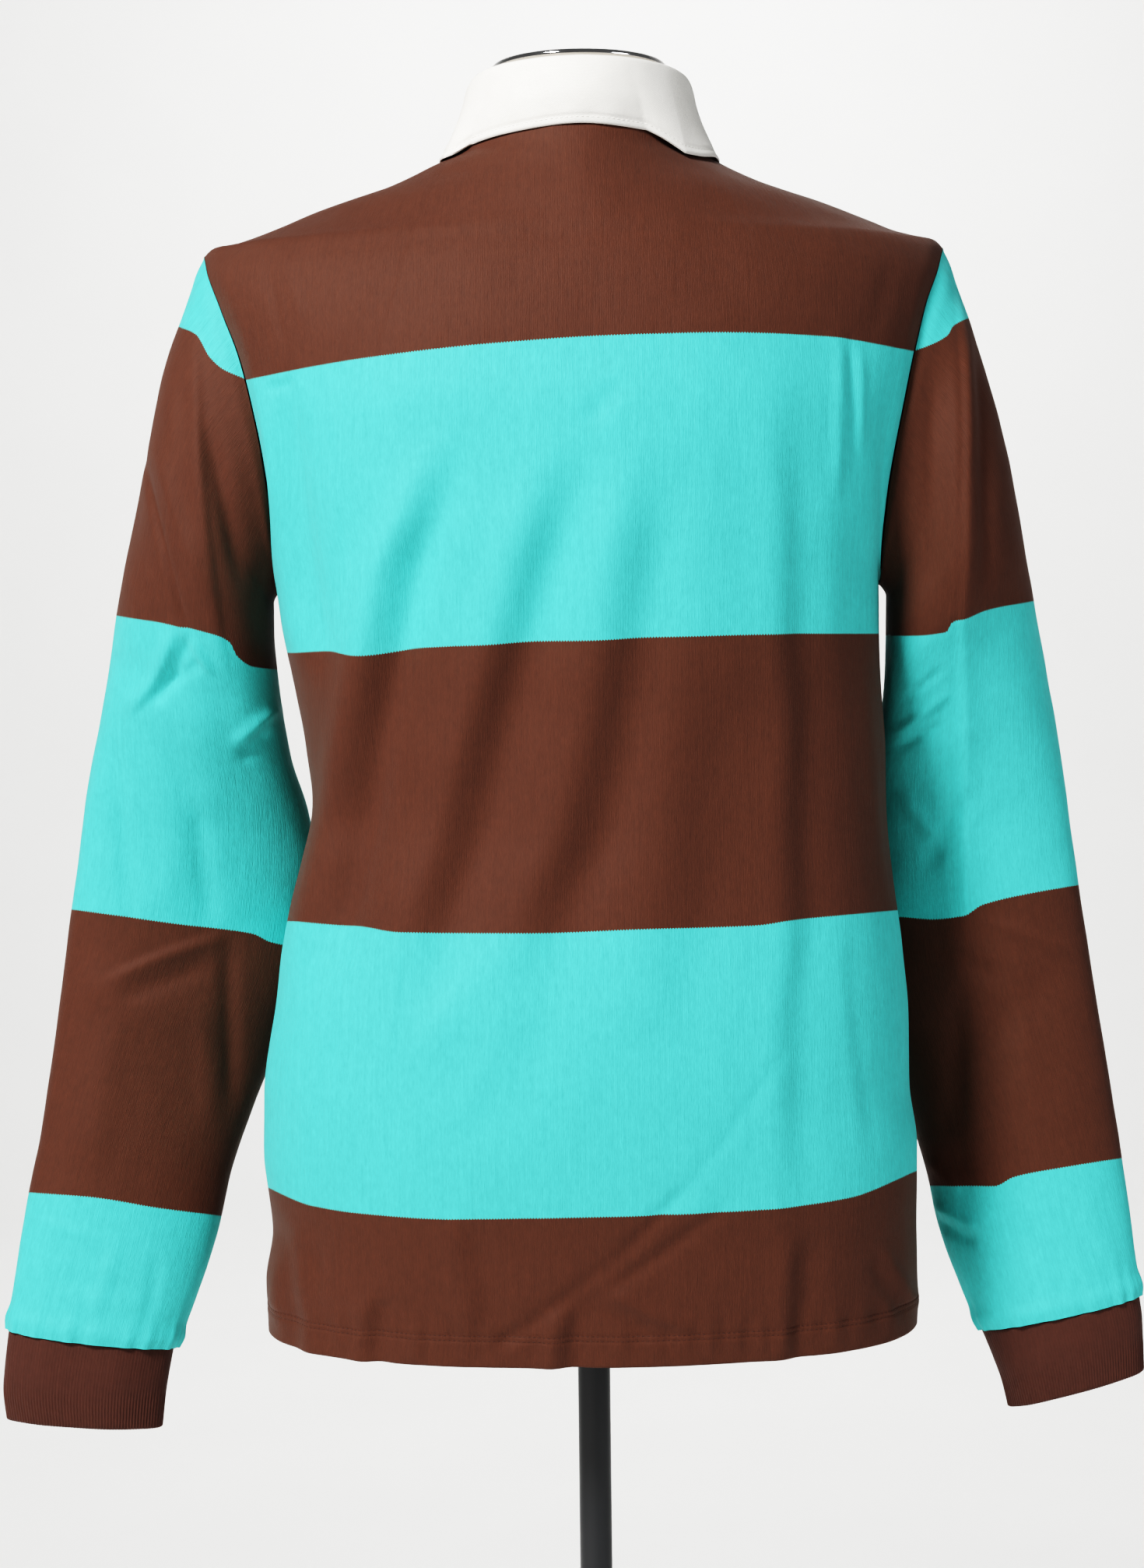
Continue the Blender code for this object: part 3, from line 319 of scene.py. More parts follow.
# Long soft folds of the back: half width, rise in mm, and places on the steep flank, which
# faces the right of the photograph
BACK_FOLD_LINES = (
    (26, 4.0, ((345, 480), (370, 660), (385, 760), (405, 880))),
    (35, 7.0, ((570, 570), (540, 655), (510, 735), (485, 850), (465, 950), (445, 1060), (420, 1160),
               (385, 1300))),
    (42, 4.8, ((730, 570), (680, 730), (650, 840), (615, 970), (590, 1070), (560, 1160), (530, 1290))),
    (46, 3.8, ((835, 570), (815, 720), (780, 930), (750, 1060), (715, 1150), (690, 1250))),
    (40, 0.8, ((695, 1150), (670, 1310), (585, 1480))),
    (32, 2.2, ((1000, 470), (1015, 700), (1015, 800), (1025, 930), (1020, 1060), (1025, 1180),
               (1015, 1320), (1015, 1600))),
    (20, 1.0, ((1130, 470), (1130, 940), (1145, 1180))),
    (16, 0.6, ((1085, 1180), (1095, 1320), (1120, 1500))),
    (56, 1.8, ((905, 860), (880, 1120), (825, 1380))),
    (20, 2.2, ((480, 1660), (475, 1775))),
    (22, 2.4, ((735, 1675), (720, 1775))),
    (24, 2.0, ((1025, 1580), (1015, 1775))),
    (26, 1.4, ((590, 1560), (620, 1720))),
    (20, -1.6, ((370, 1560), (390, 1770))),
)
LEFT_SLEEVE_CREASES = (
    (265, 430, 300, 860, -6, 12, 2.2, -0.5),
    (250, 480, 262, 700, 0, 16, -2.2, 0.0),
    (286, 560, 328, 760, 0, 12, -3.0, 0.0),
    (194, 590, 262, 835, 0, 6, -2.4, 0.3),
    (216, 580, 280, 770, 0, 12, 2.2, 0.0),
    (240, 806, 172, 915, 10, 10, 3.2, -0.4),
    (262, 812, 206, 905, 6, 8, -2.7, 0.0),
    (245, 800, 286, 866, 0, 6, 2.2, 0.0),
    (230, 880, 272, 850, 0, 8, -1.9, 0.0),
    (362, 906, 306, 956, 0, 9, 2.7, 0.0),
    (352, 940, 312, 975, 0, 9, -2.2, 0.0),
    (150, 940, 166, 1180, 0, 16, -1.9, 0.0),
    (255, 1030, 268, 1200, 0, 14, -1.9, 0.0),
    (215, 960, 222, 1180, 0, 24, 1.6, 0.0),
    (136, 1262, 284, 1206, 6, 9, 2.2, -0.4),
    (150, 1284, 270, 1240, 0, 14, -1.6, 0.0),
    (290, 1200, 292, 1430, 0, 12, -2.6, 0.0),
    (255, 1290, 270, 1470, 0, 16, 1.4, 0.0),
    (105, 1190, 66, 1520, 0, 14, -1.2, 0.0),
    (150, 1300, 110, 1500, 0, 26, 1.6, 0.0),
    (50, 1570, 168, 1600, 0, 8, 0.9, 0.0),
    (60, 1640, 190, 1660, 0, 12, -0.8, 0.0),
    (150, 1600, 120, 1690, 0, 12, 1.4, 0.0),
    (200, 1610, 190, 1700, 0, 10, -0.9, 0.0),
)
RIGHT_SLEEVE_CREASES = (
    (1223, 400, 1221, 820, 0, 10, 3.8, 0.6),
    (1221, 800, 1244, 1200, 4, 9, 3.2, 0.6),
    (1210, 450, 1210, 800, 0, 9, 1.8, 0.0),
    (1180, 480, 1178, 790, 0, 14, -2.4, 0.0),
    (1240, 430, 1250, 780, 0, 14, -2.2, 0.0),
    (1148, 944, 1210, 890, 0, 7, 1.9, 0.0),
    (1150, 962, 1206, 930, 0, 7, -1.6, 0.0),
    (1156, 900, 1200, 860, 0, 7, -1.4, 0.0),
    (1160, 1020, 1214, 1090, 0, 10, 1.6, 0.0),
    (1192, 1120, 1250, 1010, 0, 14, -1.9, 0.0),
    (1258, 1180, 1400, 1226, 0, 8, 0.9, -0.3),
    (1190, 1210, 1290, 1260, 0, 12, -1.4, 0.0),
    (1240, 1260, 1232, 1460, 0, 18, -2.0, 0.0),
    (1300, 1230, 1330, 1440, 0, 22, 1.4, 0.0),
    (1206, 1558, 1266, 1584, 0, 7, 2.2, 0.0),
    (1210, 1580, 1258, 1604, 0, 7, -1.9, 0.0),
    (1200, 1500, 1240, 1536, 0, 9, 1.4, 0.0),
    (1290, 1570, 1380, 1640, 0, 14, -0.9, 0.0),
    (1390, 1530, 1440, 1640, 0, 14, 0.9, 0.0),
)
# Creases of the hidden front, as the photograph would show them if it looked through
FRONT_CREASES = (
    (360, 520, 420, 800, -6, 14, -2.4, 0.0),
    (1110, 500, 1060, 820, 6, 14, -2.2, 0.0),
    (560, 640, 420, 1000, -16, 28, 2.4, 0.2),
    (900, 660, 1060, 1040, 18, 30, 2.6, -0.2),
    (640, 900, 520, 1240, 0, 26, -2.2, 0.0),
    (960, 1180, 1010, 1500, 0, 16, 1.8, 0.3),
    (480, 1260, 470, 1520, 0, 20, -1.6, 0.0),
    (700, 1500, 640, 1700, 0, 12, 1.2, 0.0),
    (880, 1560, 930, 1700, 0, 14, -1.0, 0.0),
)


def smooth(at, values, x):
    """Cubic curve through the rows (at, values) that doesn't overshoot them."""
    at = np.asarray(at, float)
    values = np.asarray(values, float)
    more = (1,) * (values.ndim - 1)
    gap = np.diff(at)
    slope = np.diff(values, axis=0) / gap.reshape((-1,) + more)
    before, after = slope[:-1], slope[1:]
    total = before + after
    level = before * after <= 0
    middle = np.where(level, 0, 2 * before * after / np.where(level, 1, total))
    tangent = np.concatenate([slope[:1], middle, slope[-1:]])
    x = np.clip(np.asarray(x, float), at[0], at[-1])
    i = np.clip(np.searchsorted(at, x, side="right") - 1, 0, len(at) - 2)
    t = ((x - at[i]) / gap[i]).reshape(x.shape + more)
    h = gap[i].reshape(x.shape + more)
    start = (1 + 2 * t) * (1 - t) ** 2 * values[i] + t * (1 - t) ** 2 * h * tangent[i]
    end = t * t * (3 - 2 * t) * values[i + 1] + t * t * (t - 1) * h * tangent[i + 1]
    return start + end


def ease(t):
    """Soft step from 0 to 1."""
    t = np.clip(t, 0, 1)
    return t * t * (3 - 2 * t)


def bell(distance, width):
    """1 at no distance, and nearly nothing beyond twice the width."""
    return np.exp(-((distance / width) ** 2))


FULL_TURN = 2 * math.pi


def round_turns(count):
    """Even turns all the way round."""
    return np.linspace(0, FULL_TURN, count, endpoint=False)


def joined(grid):
    """A tube's grid with its first column once more at its end."""
    return np.concatenate([grid, grid[:, :1]], axis=1)


def lengths(points, axis):
    """Distance run along an axis of a grid of points, from its first row or column."""
    step = np.linalg.norm(np.diff(points, axis=axis), axis=-1)
    start = np.zeros_like(np.take(step, [0], axis=axis))
    return np.concatenate([start, np.cumsum(step, axis=axis)], axis=axis)


def unit(vectors):
    return vectors / np.maximum(np.linalg.norm(vectors, axis=-1, keepdims=True), 1e-12)


def section(column, z):
    return smooth(BODY_SECTIONS[:, 0], BODY_SECTIONS[:, SECTION_COLUMNS.index(column)], z)


def half_width(x, z):
    return np.where(np.asarray(x) >= 0, section("left", z), section("right", z))


def face_depth(face, z):
    return section("back" if face > 0 else "front", z)


def body_y(x, z, face):
    """How far the body's surface stands behind (+1) or in front (-1) of the side line."""
    power = section("power", z)
    share = np.minimum(np.abs(x) / half_width(x, z), 1) ** power
    return face * face_depth(face, z) * (1 - share) ** (1 / power)


def body_x(y, z, face, side):
    """Half width of the section at height z where its surface is y from the side line."""
    power = section("power", z)
    share = np.minimum(np.abs(y) / face_depth(face, z), 1) ** power
    return side * half_width(side, z) * (1 - share) ** (1 / power)


def body_z(x, y, face):
    """Height of the shirt's upper surface at x, and y from the side line."""
    low = np.full(np.shape(x), ARMPIT_Z)
    high = np.full(np.shape(x), BODY_SECTIONS[-1, 0])
    for _ in range(30):
        z = (low + high) / 2
        power = section("power", z)
        reach = (np.abs(x) / half_width(x, z)) ** power + (y / face_depth(face, z)) ** power
        low = np.where(reach < 1, z, low)
        high = np.where(reach < 1, high, z)
    return (low + high) / 2


def ridge_z(x):
    """Height of the shoulder line at x, which is where the section's half width is |x|."""
    z = np.linspace(TIP_Z, BODY_SECTIONS[-1, 0], 400)
    left = np.interp(-np.abs(x), -section("left", z), z)
    right = np.interp(-np.abs(x), -section("right", z), z)
    return np.where(np.asarray(x) >= 0, left, right)


def armhole(turn, face, side):
    """Point of the armhole edge: turn goes from 0 at the armpit to pi at the shoulder tip."""
    z = ARMPIT_Z + (TIP_Z - ARMPIT_Z) * (1 - np.cos(turn)) / 2
    y = (ARMHOLE_BACK if face > 0 else ARMHOLE_FRONT) * np.sin(turn)
    return np.stack([body_x(y, z, face, side), face * y, z], -1)


def neck(turn, face, side):
    """Point of the neck edge: turn goes from 0 at the centre line to pi/2 at the shoulder."""
    x = side * NECK_HALF * np.sin(turn)
    centre = BACK_NECK_Z if face > 0 else FRONT_NECK_Z
    y = face_depth(face, centre) * np.cos(turn)
    return np.stack([x, face * y, body_z(x, y, face)], -1)


def top_edge(u, face):
    """A panel's top: the neck curve in the middle, the shoulder lines beside it."""
    side = np.where(u < 0, -1.0, 1.0)
    share = np.abs(u)
    in_neck = neck(np.minimum(share / NECK_U, 1) * math.pi / 2, face, side)
    tip = half_width(side, TIP_Z)
    x = side * (NECK_HALF + (tip - NECK_HALF) * (share - NECK_U) / (1 - NECK_U))
    on_shoulder = np.stack([x, 0 * x, ridge_z(x)], -1)
    return np.where((share < NECK_U)[..., None], in_neck, on_shoulder)


def edge_y(z, above, face):
    """How far a panel's side edge stands from the side line: slit, side seam or armhole."""
    gape = SLIT_GAPE * np.clip((SLIT_Z - z) / (SLIT_Z - HEM_Z), 0, 1) ** SLIT_CURVE
    turn = np.arccos(np.clip(1 - 2 * (z - ARMPIT_Z) / (TIP_Z - ARMPIT_Z), -1, 1))
    deepest = ARMHOLE_BACK if face > 0 else ARMHOLE_FRONT
    return np.where(above > 0, deepest * np.sin(turn), gape)


def panel_points(u, v, face):
    """Points of the back (+1) or front (-1): u from right -1 to left +1, v from hem 0 to top 1."""
    side = np.where(u < 0, -1.0, 1.0)
    above = np.clip((v - ARMPIT_V) / (1 - ARMPIT_V), 0, 1)
    at_edge = np.abs(u) ** 3
    rise = (1 - at_edge) * np.sin(above * math.pi / 2) + at_edge * (1 - np.cos(above * math.pi)) / 2
    edge_rise = (1 - np.cos(above * math.pi)) / 2
    hem_z = HEM_Z - HEM_DROP * (1 - u * u)
    low_z = hem_z + (ARMPIT_Z - hem_z) * np.minimum(v / ARMPIT_V, 1)
    top = top_edge(u, face)
    z = low_z + (top[..., 2] - ARMPIT_Z) * rise
    edge_z = low_z + (TIP_Z - ARMPIT_Z) * edge_rise
    edge_x = body_x(edge_y(edge_z, above, face), edge_z, face, side)
    round_share = np.abs(np.sin(u * math.pi / 2)) ** (2 / section("power", edge_z))
    top_share = np.abs(top[..., 0]) / half_width(side, TIP_Z)
    blend = ease(above)
    x = edge_x * (round_share * (1 - blend) + top_share * blend)
    y = body_y(x, z, face)
    on_edge = np.abs(u) > 1 - 1e-9
    y = np.where(on_edge, face * edge_y(edge_z, above, face), y)
    points = np.stack([x, y, z], -1)
    return np.where((v > 1 - 1e-9)[..., None], top, points)


# How far past its ends a fold goes on, and the run over which it fades, as shares of its length
BROAD_ENDS = (0.12, 0.34)
CREASE_ENDS = (0.10, 0.36)
FLANK_ENDS = (0.04, 0.26)


def beside(points, x0, z0, x1, z1):
    """Share of the way along the line from x0, z0 to x1, z1, and signed distance from it."""
    x, z = points[..., 0] - x0, points[..., 2] - z0
    run_x, run_z = x1 - x0, z1 - z0
    length = math.hypot(run_x, run_z)
    return (x * run_x + z * run_z) / length**2, (x * run_z - z * run_x) / length


def between_ends(along, ends):
    """1 along a fold, falling to 0 at its ends."""
    past, run = ends
    return ease((along + past) / run) * ease((1 + past - along) / run)


def fold_height(points, folds):
    """Sum of the broad ridges and troughs at these points, read in the view from the back."""
    total = np.zeros(points.shape[:-1])
    for *line, half, rise in folds:
        along, across = beside(points, *line)
        total += rise * bell(across, half) * between_ends(along, BROAD_ENDS)
    return total


def grid_normals(points, wrap):
    """Unit normals of a grid of points; wrap closes the second direction."""
    down = np.gradient(points, axis=0)
    if wrap:
        across = (np.roll(points, -1, 1) - np.roll(points, 1, 1)) / 2
    else:
        across = np.gradient(points, axis=1)
    return unit(np.cross(across, down))


def faced(normals, outward):
    """The normals, all turned round if they point inward."""
    return -normals if (normals * outward).sum() < 0 else normals


def ring(row, turns, side, power):
    """Closed section between its outer end (turn 0) and inner end (turn pi), back at pi/2."""
    outer = np.array([side * row[0], row[1], row[2]])
    inner = np.array([side * row[3], row[4], row[5]])
    arm = (outer - inner) / 2
    depth = np.array([-arm[1] * side, abs(arm[0]), 0.0])
    depth = unit(depth) * row[6]
    c, s = np.cos(turns), np.sin(turns)
    c = np.sign(c) * np.abs(c) ** (2 / power)
    s = np.sign(s) * np.abs(s) ** (2 / power)
    return (outer + inner) / 2 + c[:, None] * arm + s[:, None] * depth


def armhole_ring(turns, side):
    """The sleeve's first ring: the armhole edge, from the tip round the back to the armpit."""
    turns = np.mod(turns, FULL_TURN)
    at_back = turns <= math.pi
    back = armhole(math.pi - turns, 1, side)
    front = armhole(turns - math.pi, -1, side)
    points = np.where(at_back[:, None], back, front)
    points[:, 1] += np.where(at_back, 1, -1) * SEAM / 2 * (np.abs(np.sin(turns)) > 1e-6)
    return points


def sleeve_rings(table, side, around):
    turns = round_turns(around)
    first = armhole_ring(turns, side)
    rings = [first] + [ring(row, turns, side, SLEEVE_POWER) for row in table]
    return turns, np.array(rings)


def fold_line(degrees):
    """Top edge of the collar, where the fall turns over the stand."""
    turn = np.radians(degrees)
    reach = np.where(np.cos(turn) > 0, FOLD_BACK, FOLD_FRONT)
    table = np.array(FOLD_HEIGHTS)
    z = smooth(table[:, 0], table[:, 1], np.minimum(np.abs(degrees), 360 - np.abs(degrees)))
    return np.stack([FOLD_HALF * np.sin(turn), reach * np.cos(turn), z], -1)


def neck_ring(degrees):
    """The neck edge by the same angle as the collar: 0 at the back, 180 at the front."""
    turn = np.radians(np.minimum(np.abs(degrees), 360 - np.abs(degrees)))
    side = np.where(np.sin(np.radians(degrees)) < 0, -1.0, 1.0)
    back = neck(np.minimum(turn, math.pi / 2), 1, side)
    front = neck(np.minimum(math.pi - turn, math.pi / 2), -1, side)
    return np.where((turn <= math.pi / 2)[:, None], back, front)


def front_lap(degrees):
    return STAND_LAP * ease((np.abs(degrees) - LAP_FROM) / LAP_RUN)


def form_rings():
    """Rings of the torso from its flat bottom to the neck's flat top."""
    turns = round_turns(FORM_AROUND)
    rings = []
    for z, half, back, front in FORM_SECTIONS:
        rings.append(form_ring(turns, half, half, back, front, FORM_POWER, z))
    for z in FORM_SHOULDER_LEVELS:
        lifted = z + FORM_REST
        left, right, back, front, power = (
            float(section(column, lifted)) for column in ("left", "right", "back", "front", "power")
        )
        left, right = min(left - FORM_SIDE_GAP, FORM_WIDEST), min(right - FORM_SIDE_GAP, FORM_WIDEST)
        back, front = back - FORM_INSIDE, front - FORM_INSIDE
        rings.append(form_ring(turns, left, right, back, front, power, z))
    for z, flare in FORM_NECK:
        half, back = FORM_NECK_HALF + flare, FORM_NECK_BACK + flare / 2
        rings.append(form_ring(turns, half, half, back, FORM_NECK_FRONT, 2.0, z))
    return np.array(rings)


def form_ring(turns, left, right, back, front, power, z):
    c, s = np.cos(turns), np.sin(turns)
    x = np.where(c >= 0, left, right) * np.sign(c) * np.abs(c) ** (2 / power)
    y = np.where(s >= 0, back, front) * np.sign(s) * np.abs(s) ** (2 / power)
    return np.stack([x, y, np.full_like(x, z)], -1)


# ---- Reading places off the photograph ----
BACK_DEPTH = 0.10  # how far behind the side line the shirt's back stands, about
START_DEPTH = 0.09  # where the search for a seen place begins
PER_PIXEL = (CAMERA_AT[1] - BACK_DEPTH) / FOCAL  # the size of the photograph's pixels there
MILLIMETRE = 0.001


def seen(px, py, depth):
    """x and height of what the camera sees at this pixel, on the upright plane y = depth."""
    right, down = px - PICTURE[0] / 2, py - PICTURE[1] / 2
    flat = (right * math.cos(ROLL) - down * math.sin(ROLL)) / FOCAL
    up = -(right * math.sin(ROLL) + down * math.cos(ROLL)) / FOCAL
    ahead_y = -math.cos(PITCH) - math.sin(PITCH) * up
    ahead_z = -math.sin(PITCH) + math.cos(PITCH) * up
    reach = (depth - CAMERA_AT[1]) / ahead_y
    return CAMERA_AT[0] - flat * reach, CAMERA_AT[2] + ahead_z * reach


def pictured(points):
    """Pixels at which the camera shows these points."""
    offset = points - np.array(CAMERA_AT)
    ahead = -offset[..., 1] * math.cos(PITCH) - offset[..., 2] * math.sin(PITCH)
    up = (offset[..., 2] * math.cos(PITCH) - offset[..., 1] * math.sin(PITCH)) / ahead
    flat = -offset[..., 0] / ahead
    right = FOCAL * (flat * math.cos(ROLL) - up * math.sin(ROLL))
    down = -FOCAL * (flat * math.sin(ROLL) + up * math.cos(ROLL))
    return right + PICTURE[0] / 2, down + PICTURE[1] / 2


def seen_on_back(px, py):
    """x and height of the place on the shirt's back that shows at this pixel."""
    depth = START_DEPTH
    for _ in range(4):
        x, z = seen(px, py, depth)
        depth = max(float(body_y(np.array(x), np.array(z), 1)), 0.0)
    return x, z


def placed(creases, depth=None):
    """The crease tables in metres: x0, z0, x1, z1, bow, half width, rise, lean."""
    rows = []
    for x0, y0, x1, y1, bow, half, rise, lean in creases:
        start = seen_on_back(x0, y0) if depth is None else seen(x0, y0, depth)
        stop = seen_on_back(x1, y1) if depth is None else seen(x1, y1, depth)
        rows.append((*start, *stop, bow * PER_PIXEL, half * PER_PIXEL, rise * MILLIMETRE, lean))
    return rows


def crease_height(points, creases):
    """Sum of the creases at these points. A bow bends the line, a lean makes one flank steep."""
    total = np.zeros(points.shape[:-1])
    for *line, bow, half, rise, lean in creases:
        along, across = beside(points, *line)
        across = across - bow * 4 * np.clip(along, 0, 1) * (1 - np.clip(along, 0, 1))
        width = half * (1 + lean * np.tanh(across / half))
        total += rise * bell(across, width) * between_ends(along, CREASE_ENDS)
    return total


def placed_lines(folds):
    """The fold lines in metres: half width, rise, heights from low to high, and x there."""
    rows = []
    for half, rise, line in folds:
        x, z = np.array([seen_on_back(*spot) for spot in line]).T
        rows.append((half * PER_PIXEL, rise * MILLIMETRE, z[::-1], x[::-1]))
    return rows


def flank_height(points, folds):
    """Long folds that stand high on one side of their line and low on the other."""
    x, z = points[..., 0], points[..., 2]
    total = np.zeros(x.shape)
    to_one = math.sqrt(2 * math.e)  # brings the top of across * bell to 1
    for half, rise, line_z, line_x in folds:
        centre = smooth(line_z, line_x, np.clip(z, line_z[0], line_z[-1]))
        slant = (line_x[-1] - line_x[0]) / (line_z[-1] - line_z[0])
        across = (centre - x) / half / math.hypot(1, slant)
        along = (z - line_z[0]) / (line_z[-1] - line_z[0])
        total -= rise * across * bell(across, 1) * to_one * between_ends(along, FLANK_ENDS)
    return total


WAVES = ((0.120, 1.0), (0.070, 0.7), (0.040, 0.4), (0.022, 0.2))  # length, share of the rise
WAVES_EACH = 4  # directions for each length
LAST_PHASE = 6.28


def unevenness(points, seed, rise):
    """Soft waves of several lengths and directions, the same on each run."""
    random = np.random.default_rng(seed)
    total = np.zeros(points.shape[:-1])
    for length, share in WAVES:
        for _ in range(WAVES_EACH):
            direction = random.normal(size=3) * (1.0, 1.0, 0.6)
            direction *= FULL_TURN / length / np.linalg.norm(direction)
            wave = np.sin(points @ direction + random.uniform(0, LAST_PHASE))
            total += rise * share / WAVES_EACH * wave
    return total


def banded(value, knots):
    """Counts the bands passed by value, with a share of the one it lies in."""
    total = np.zeros(np.shape(value))
    for low, high in zip(knots[:-1], knots[1:]):
        total += np.clip((value - low) / (high - low), 0, 1)
    return total


def counted(points, edges):
    """Stripes counted down the photograph, from one stripe above the first edge."""
    px, py = pictured(points)
    heights = []
    for edge in edges:
        at, height = np.array(edge, float).T
        heights.append(smooth(at, height, np.clip(px, at[0], at[-1])))
    return banded(py, [heights[0] - STRIPE_PIXELS, *heights, heights[-1] + STRIPE_PIXELS])


def body_bands(points, edges):
    """A hidden point of the front takes the stripe of its mirror image on the back."""
    mirrored = np.stack([points[..., 0], np.abs(points[..., 1]), points[..., 2]], -1)
    return counted(mirrored, edges)


def sleeve_bands(points, edges):
    """Sleeves begin with the second colour, so their count starts from one."""
    return 1 + counted(points, edges)


# ---- Shells ----
FLAT_RIM = 0.08  # bulge of a rim that nothing rounds, as a share of the thickness
SHARP_TURN = 55  # degrees; a fold of cloth that turns less is shaded smooth


def shell(name, outer, normals, thick, across, along, bands, finish, wrap=False, rims=None):
    """Closed thin wall on a grid of outer points, with rounded rims at its free edges.

    across and along are the cloth's own measures in metres, with one more column on a tube.
    The inner side takes every second point. Both counts of cells are even. rims gives how far
    each edge (low, high, left, right) bulges, as a share of the thickness.
    """
    rows, cols = outer.shape[:2]
    inner = (outer - normals * thick)[::2, ::2]
    rims = {**dict.fromkeys(("low", "high", "left", "right"), FLAT_RIM), **(rims or {})}

    def grid(count_rows, count_cols, start):
        index = start + np.arange(count_rows * count_cols).reshape(count_rows, count_cols)
        return joined(index) if wrap else index

    def cells(index):
        parts = index[:-1, :-1], index[:-1, 1:], index[1:, 1:], index[1:, :-1]
        return np.stack([part.ravel() for part in parts], -1)

    def edges(values):
        """Values round the free edges, in the order in which the outer cells run."""
        if wrap:
            return [values[0], values[-1][::-1]]
        parts = values[0], values[1:, -1], values[-1, -2::-1], values[-2::-1, 0]
        return [np.concatenate(parts)]

    index = grid(rows, cols, 0)
    inside = grid(*inner.shape[:2], rows * cols)
    corner = np.arange(index.size).reshape(index.shape)
    inner_corner = corner[::2, ::2]
    out = np.zeros((*index.shape, 3))
    closed, facing = (joined(outer), joined(normals)) if wrap else (outer, normals)
    if not wrap:
        out[:, 0] = unit(closed[:, 0] - closed[:, 1]) * rims["left"]
        out[:, -1] = unit(closed[:, -1] - closed[:, -2]) * rims["right"]
    out[0] = unit(closed[0] - closed[1]) * rims["low"]
    out[-1] = unit(closed[-1] - closed[-2]) * rims["high"]
    middle_grid = closed - facing * thick / 2 + out * thick
    quads, quad_corners = [cells(index), cells(inside)[:, ::-1]], [cells(corner)]
    quad_corners.append(cells(inner_corner)[:, ::-1])
    fives, five_corners, middle = [], [], []
    base = rows * cols + inner.shape[0] * inner.shape[1]
    loops = zip(edges(index), edges(inside), edges(corner), edges(middle_grid))
    for outer_loop, inner_loop, corners, middles in loops:
        count = len(outer_loop) - 1
        middle.append(middles[:-1])
        mid = base + np.arange(count + 1) % count
        base += count
        quads.append(np.stack([outer_loop[1:], outer_loop[:-1], mid[:-1], mid[1:]], -1))
        pair = np.stack([corners[1:], corners[:-1], corners[:-1], corners[1:]], -1)
        quad_corners.append(pair)
        ends = inner_loop[:-1], inner_loop[1:]
        fives.append(np.stack([mid[2::2], mid[1::2], mid[:-1:2], *ends], -1))
        ends = corners[:-1:2], corners[2::2]
        five_corners.append(np.stack([corners[2::2], corners[1::2], corners[:-1:2], *ends], -1))
    points = np.concatenate([outer.reshape(-1, 3), inner.reshape(-1, 3), *middle])
    quads, fives = np.concatenate(quads), np.concatenate(fives)
    quad_corners, five_corners = np.concatenate(quad_corners), np.concatenate(five_corners)
    first = points[quads[: (index.shape[0] - 1) * (index.shape[1] - 1)]]
    turned_out = np.cross(first[:, 2] - first[:, 0], first[:, 3] - first[:, 1])
    if (turned_out * facing[:-1, :-1].reshape(-1, 3)).sum() < 0:
        quads, quad_corners = quads[:, ::-1], quad_corners[:, ::-1]
        fives, five_corners = fives[:, ::-1], five_corners[:, ::-1]
    vertex = np.concatenate([quads.ravel(), fives.ravel()]).astype(np.int32)
    corners = np.concatenate([quad_corners.ravel(), five_corners.ravel()])
    starts = np.concatenate([np.arange(0, quads.size, 4), quads.size + np.arange(0, fives.size, 5)])
    mesh = bpy.data.meshes.new(name)
    mesh.vertices.add(len(points))
    mesh.vertices.foreach_set("co", points.astype(np.float32).ravel())
    mesh.loops.add(len(vertex))
    mesh.loops.foreach_set("vertex_index", vertex)
    mesh.polygons.add(len(starts))
    mesh.polygons.foreach_set("loop_start", starts.astype(np.int32))
    add_layer(mesh, "Cloth", across.ravel()[corners], along.ravel()[corners])
    if bands is not None:
        add_layer(mesh, "Bands", bands.ravel()[corners], 0 * corners)
    mesh.update(calc_edges=True)
    mesh.validate()
    mesh.shade_smooth()
    mesh.set_sharp_from_angle(angle=math.radians(SHARP_TURN))
    return placed_object(name, mesh, finish)


def add_layer(mesh, name, first, second):
    layer = mesh.uv_layers.new(name=name)
    layer.data.foreach_set("uv", np.stack([first, second], -1).astype(np.float32).ravel())


def centred(across, column):
    """The measures across, counted from this column."""
    return across - across[:, column : column + 1]


def smooth_mesh(name, points, faces, sharp=None):
    """Mesh shaded smooth, but for edges where it turns by more than sharp degrees."""
    mesh = bpy.data.meshes.new(name)
    mesh.from_pydata(np.asarray(points).tolist(), [], [tuple(face) for face in faces])
    mesh.shade_smooth()
    if sharp:
        mesh.set_sharp_from_angle(angle=math.radians(sharp))
    return mesh


def placed_object(name, mesh, finish):
    mesh.materials.append(finish)
    made = bpy.data.objects.new(name, mesh)
    bpy.context.scene.collection.objects.link(made)
    return made


def belongs(made, body, slot_name, *nodes):
    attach(made, body)
    if nodes:
        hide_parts(*nodes)
    return made


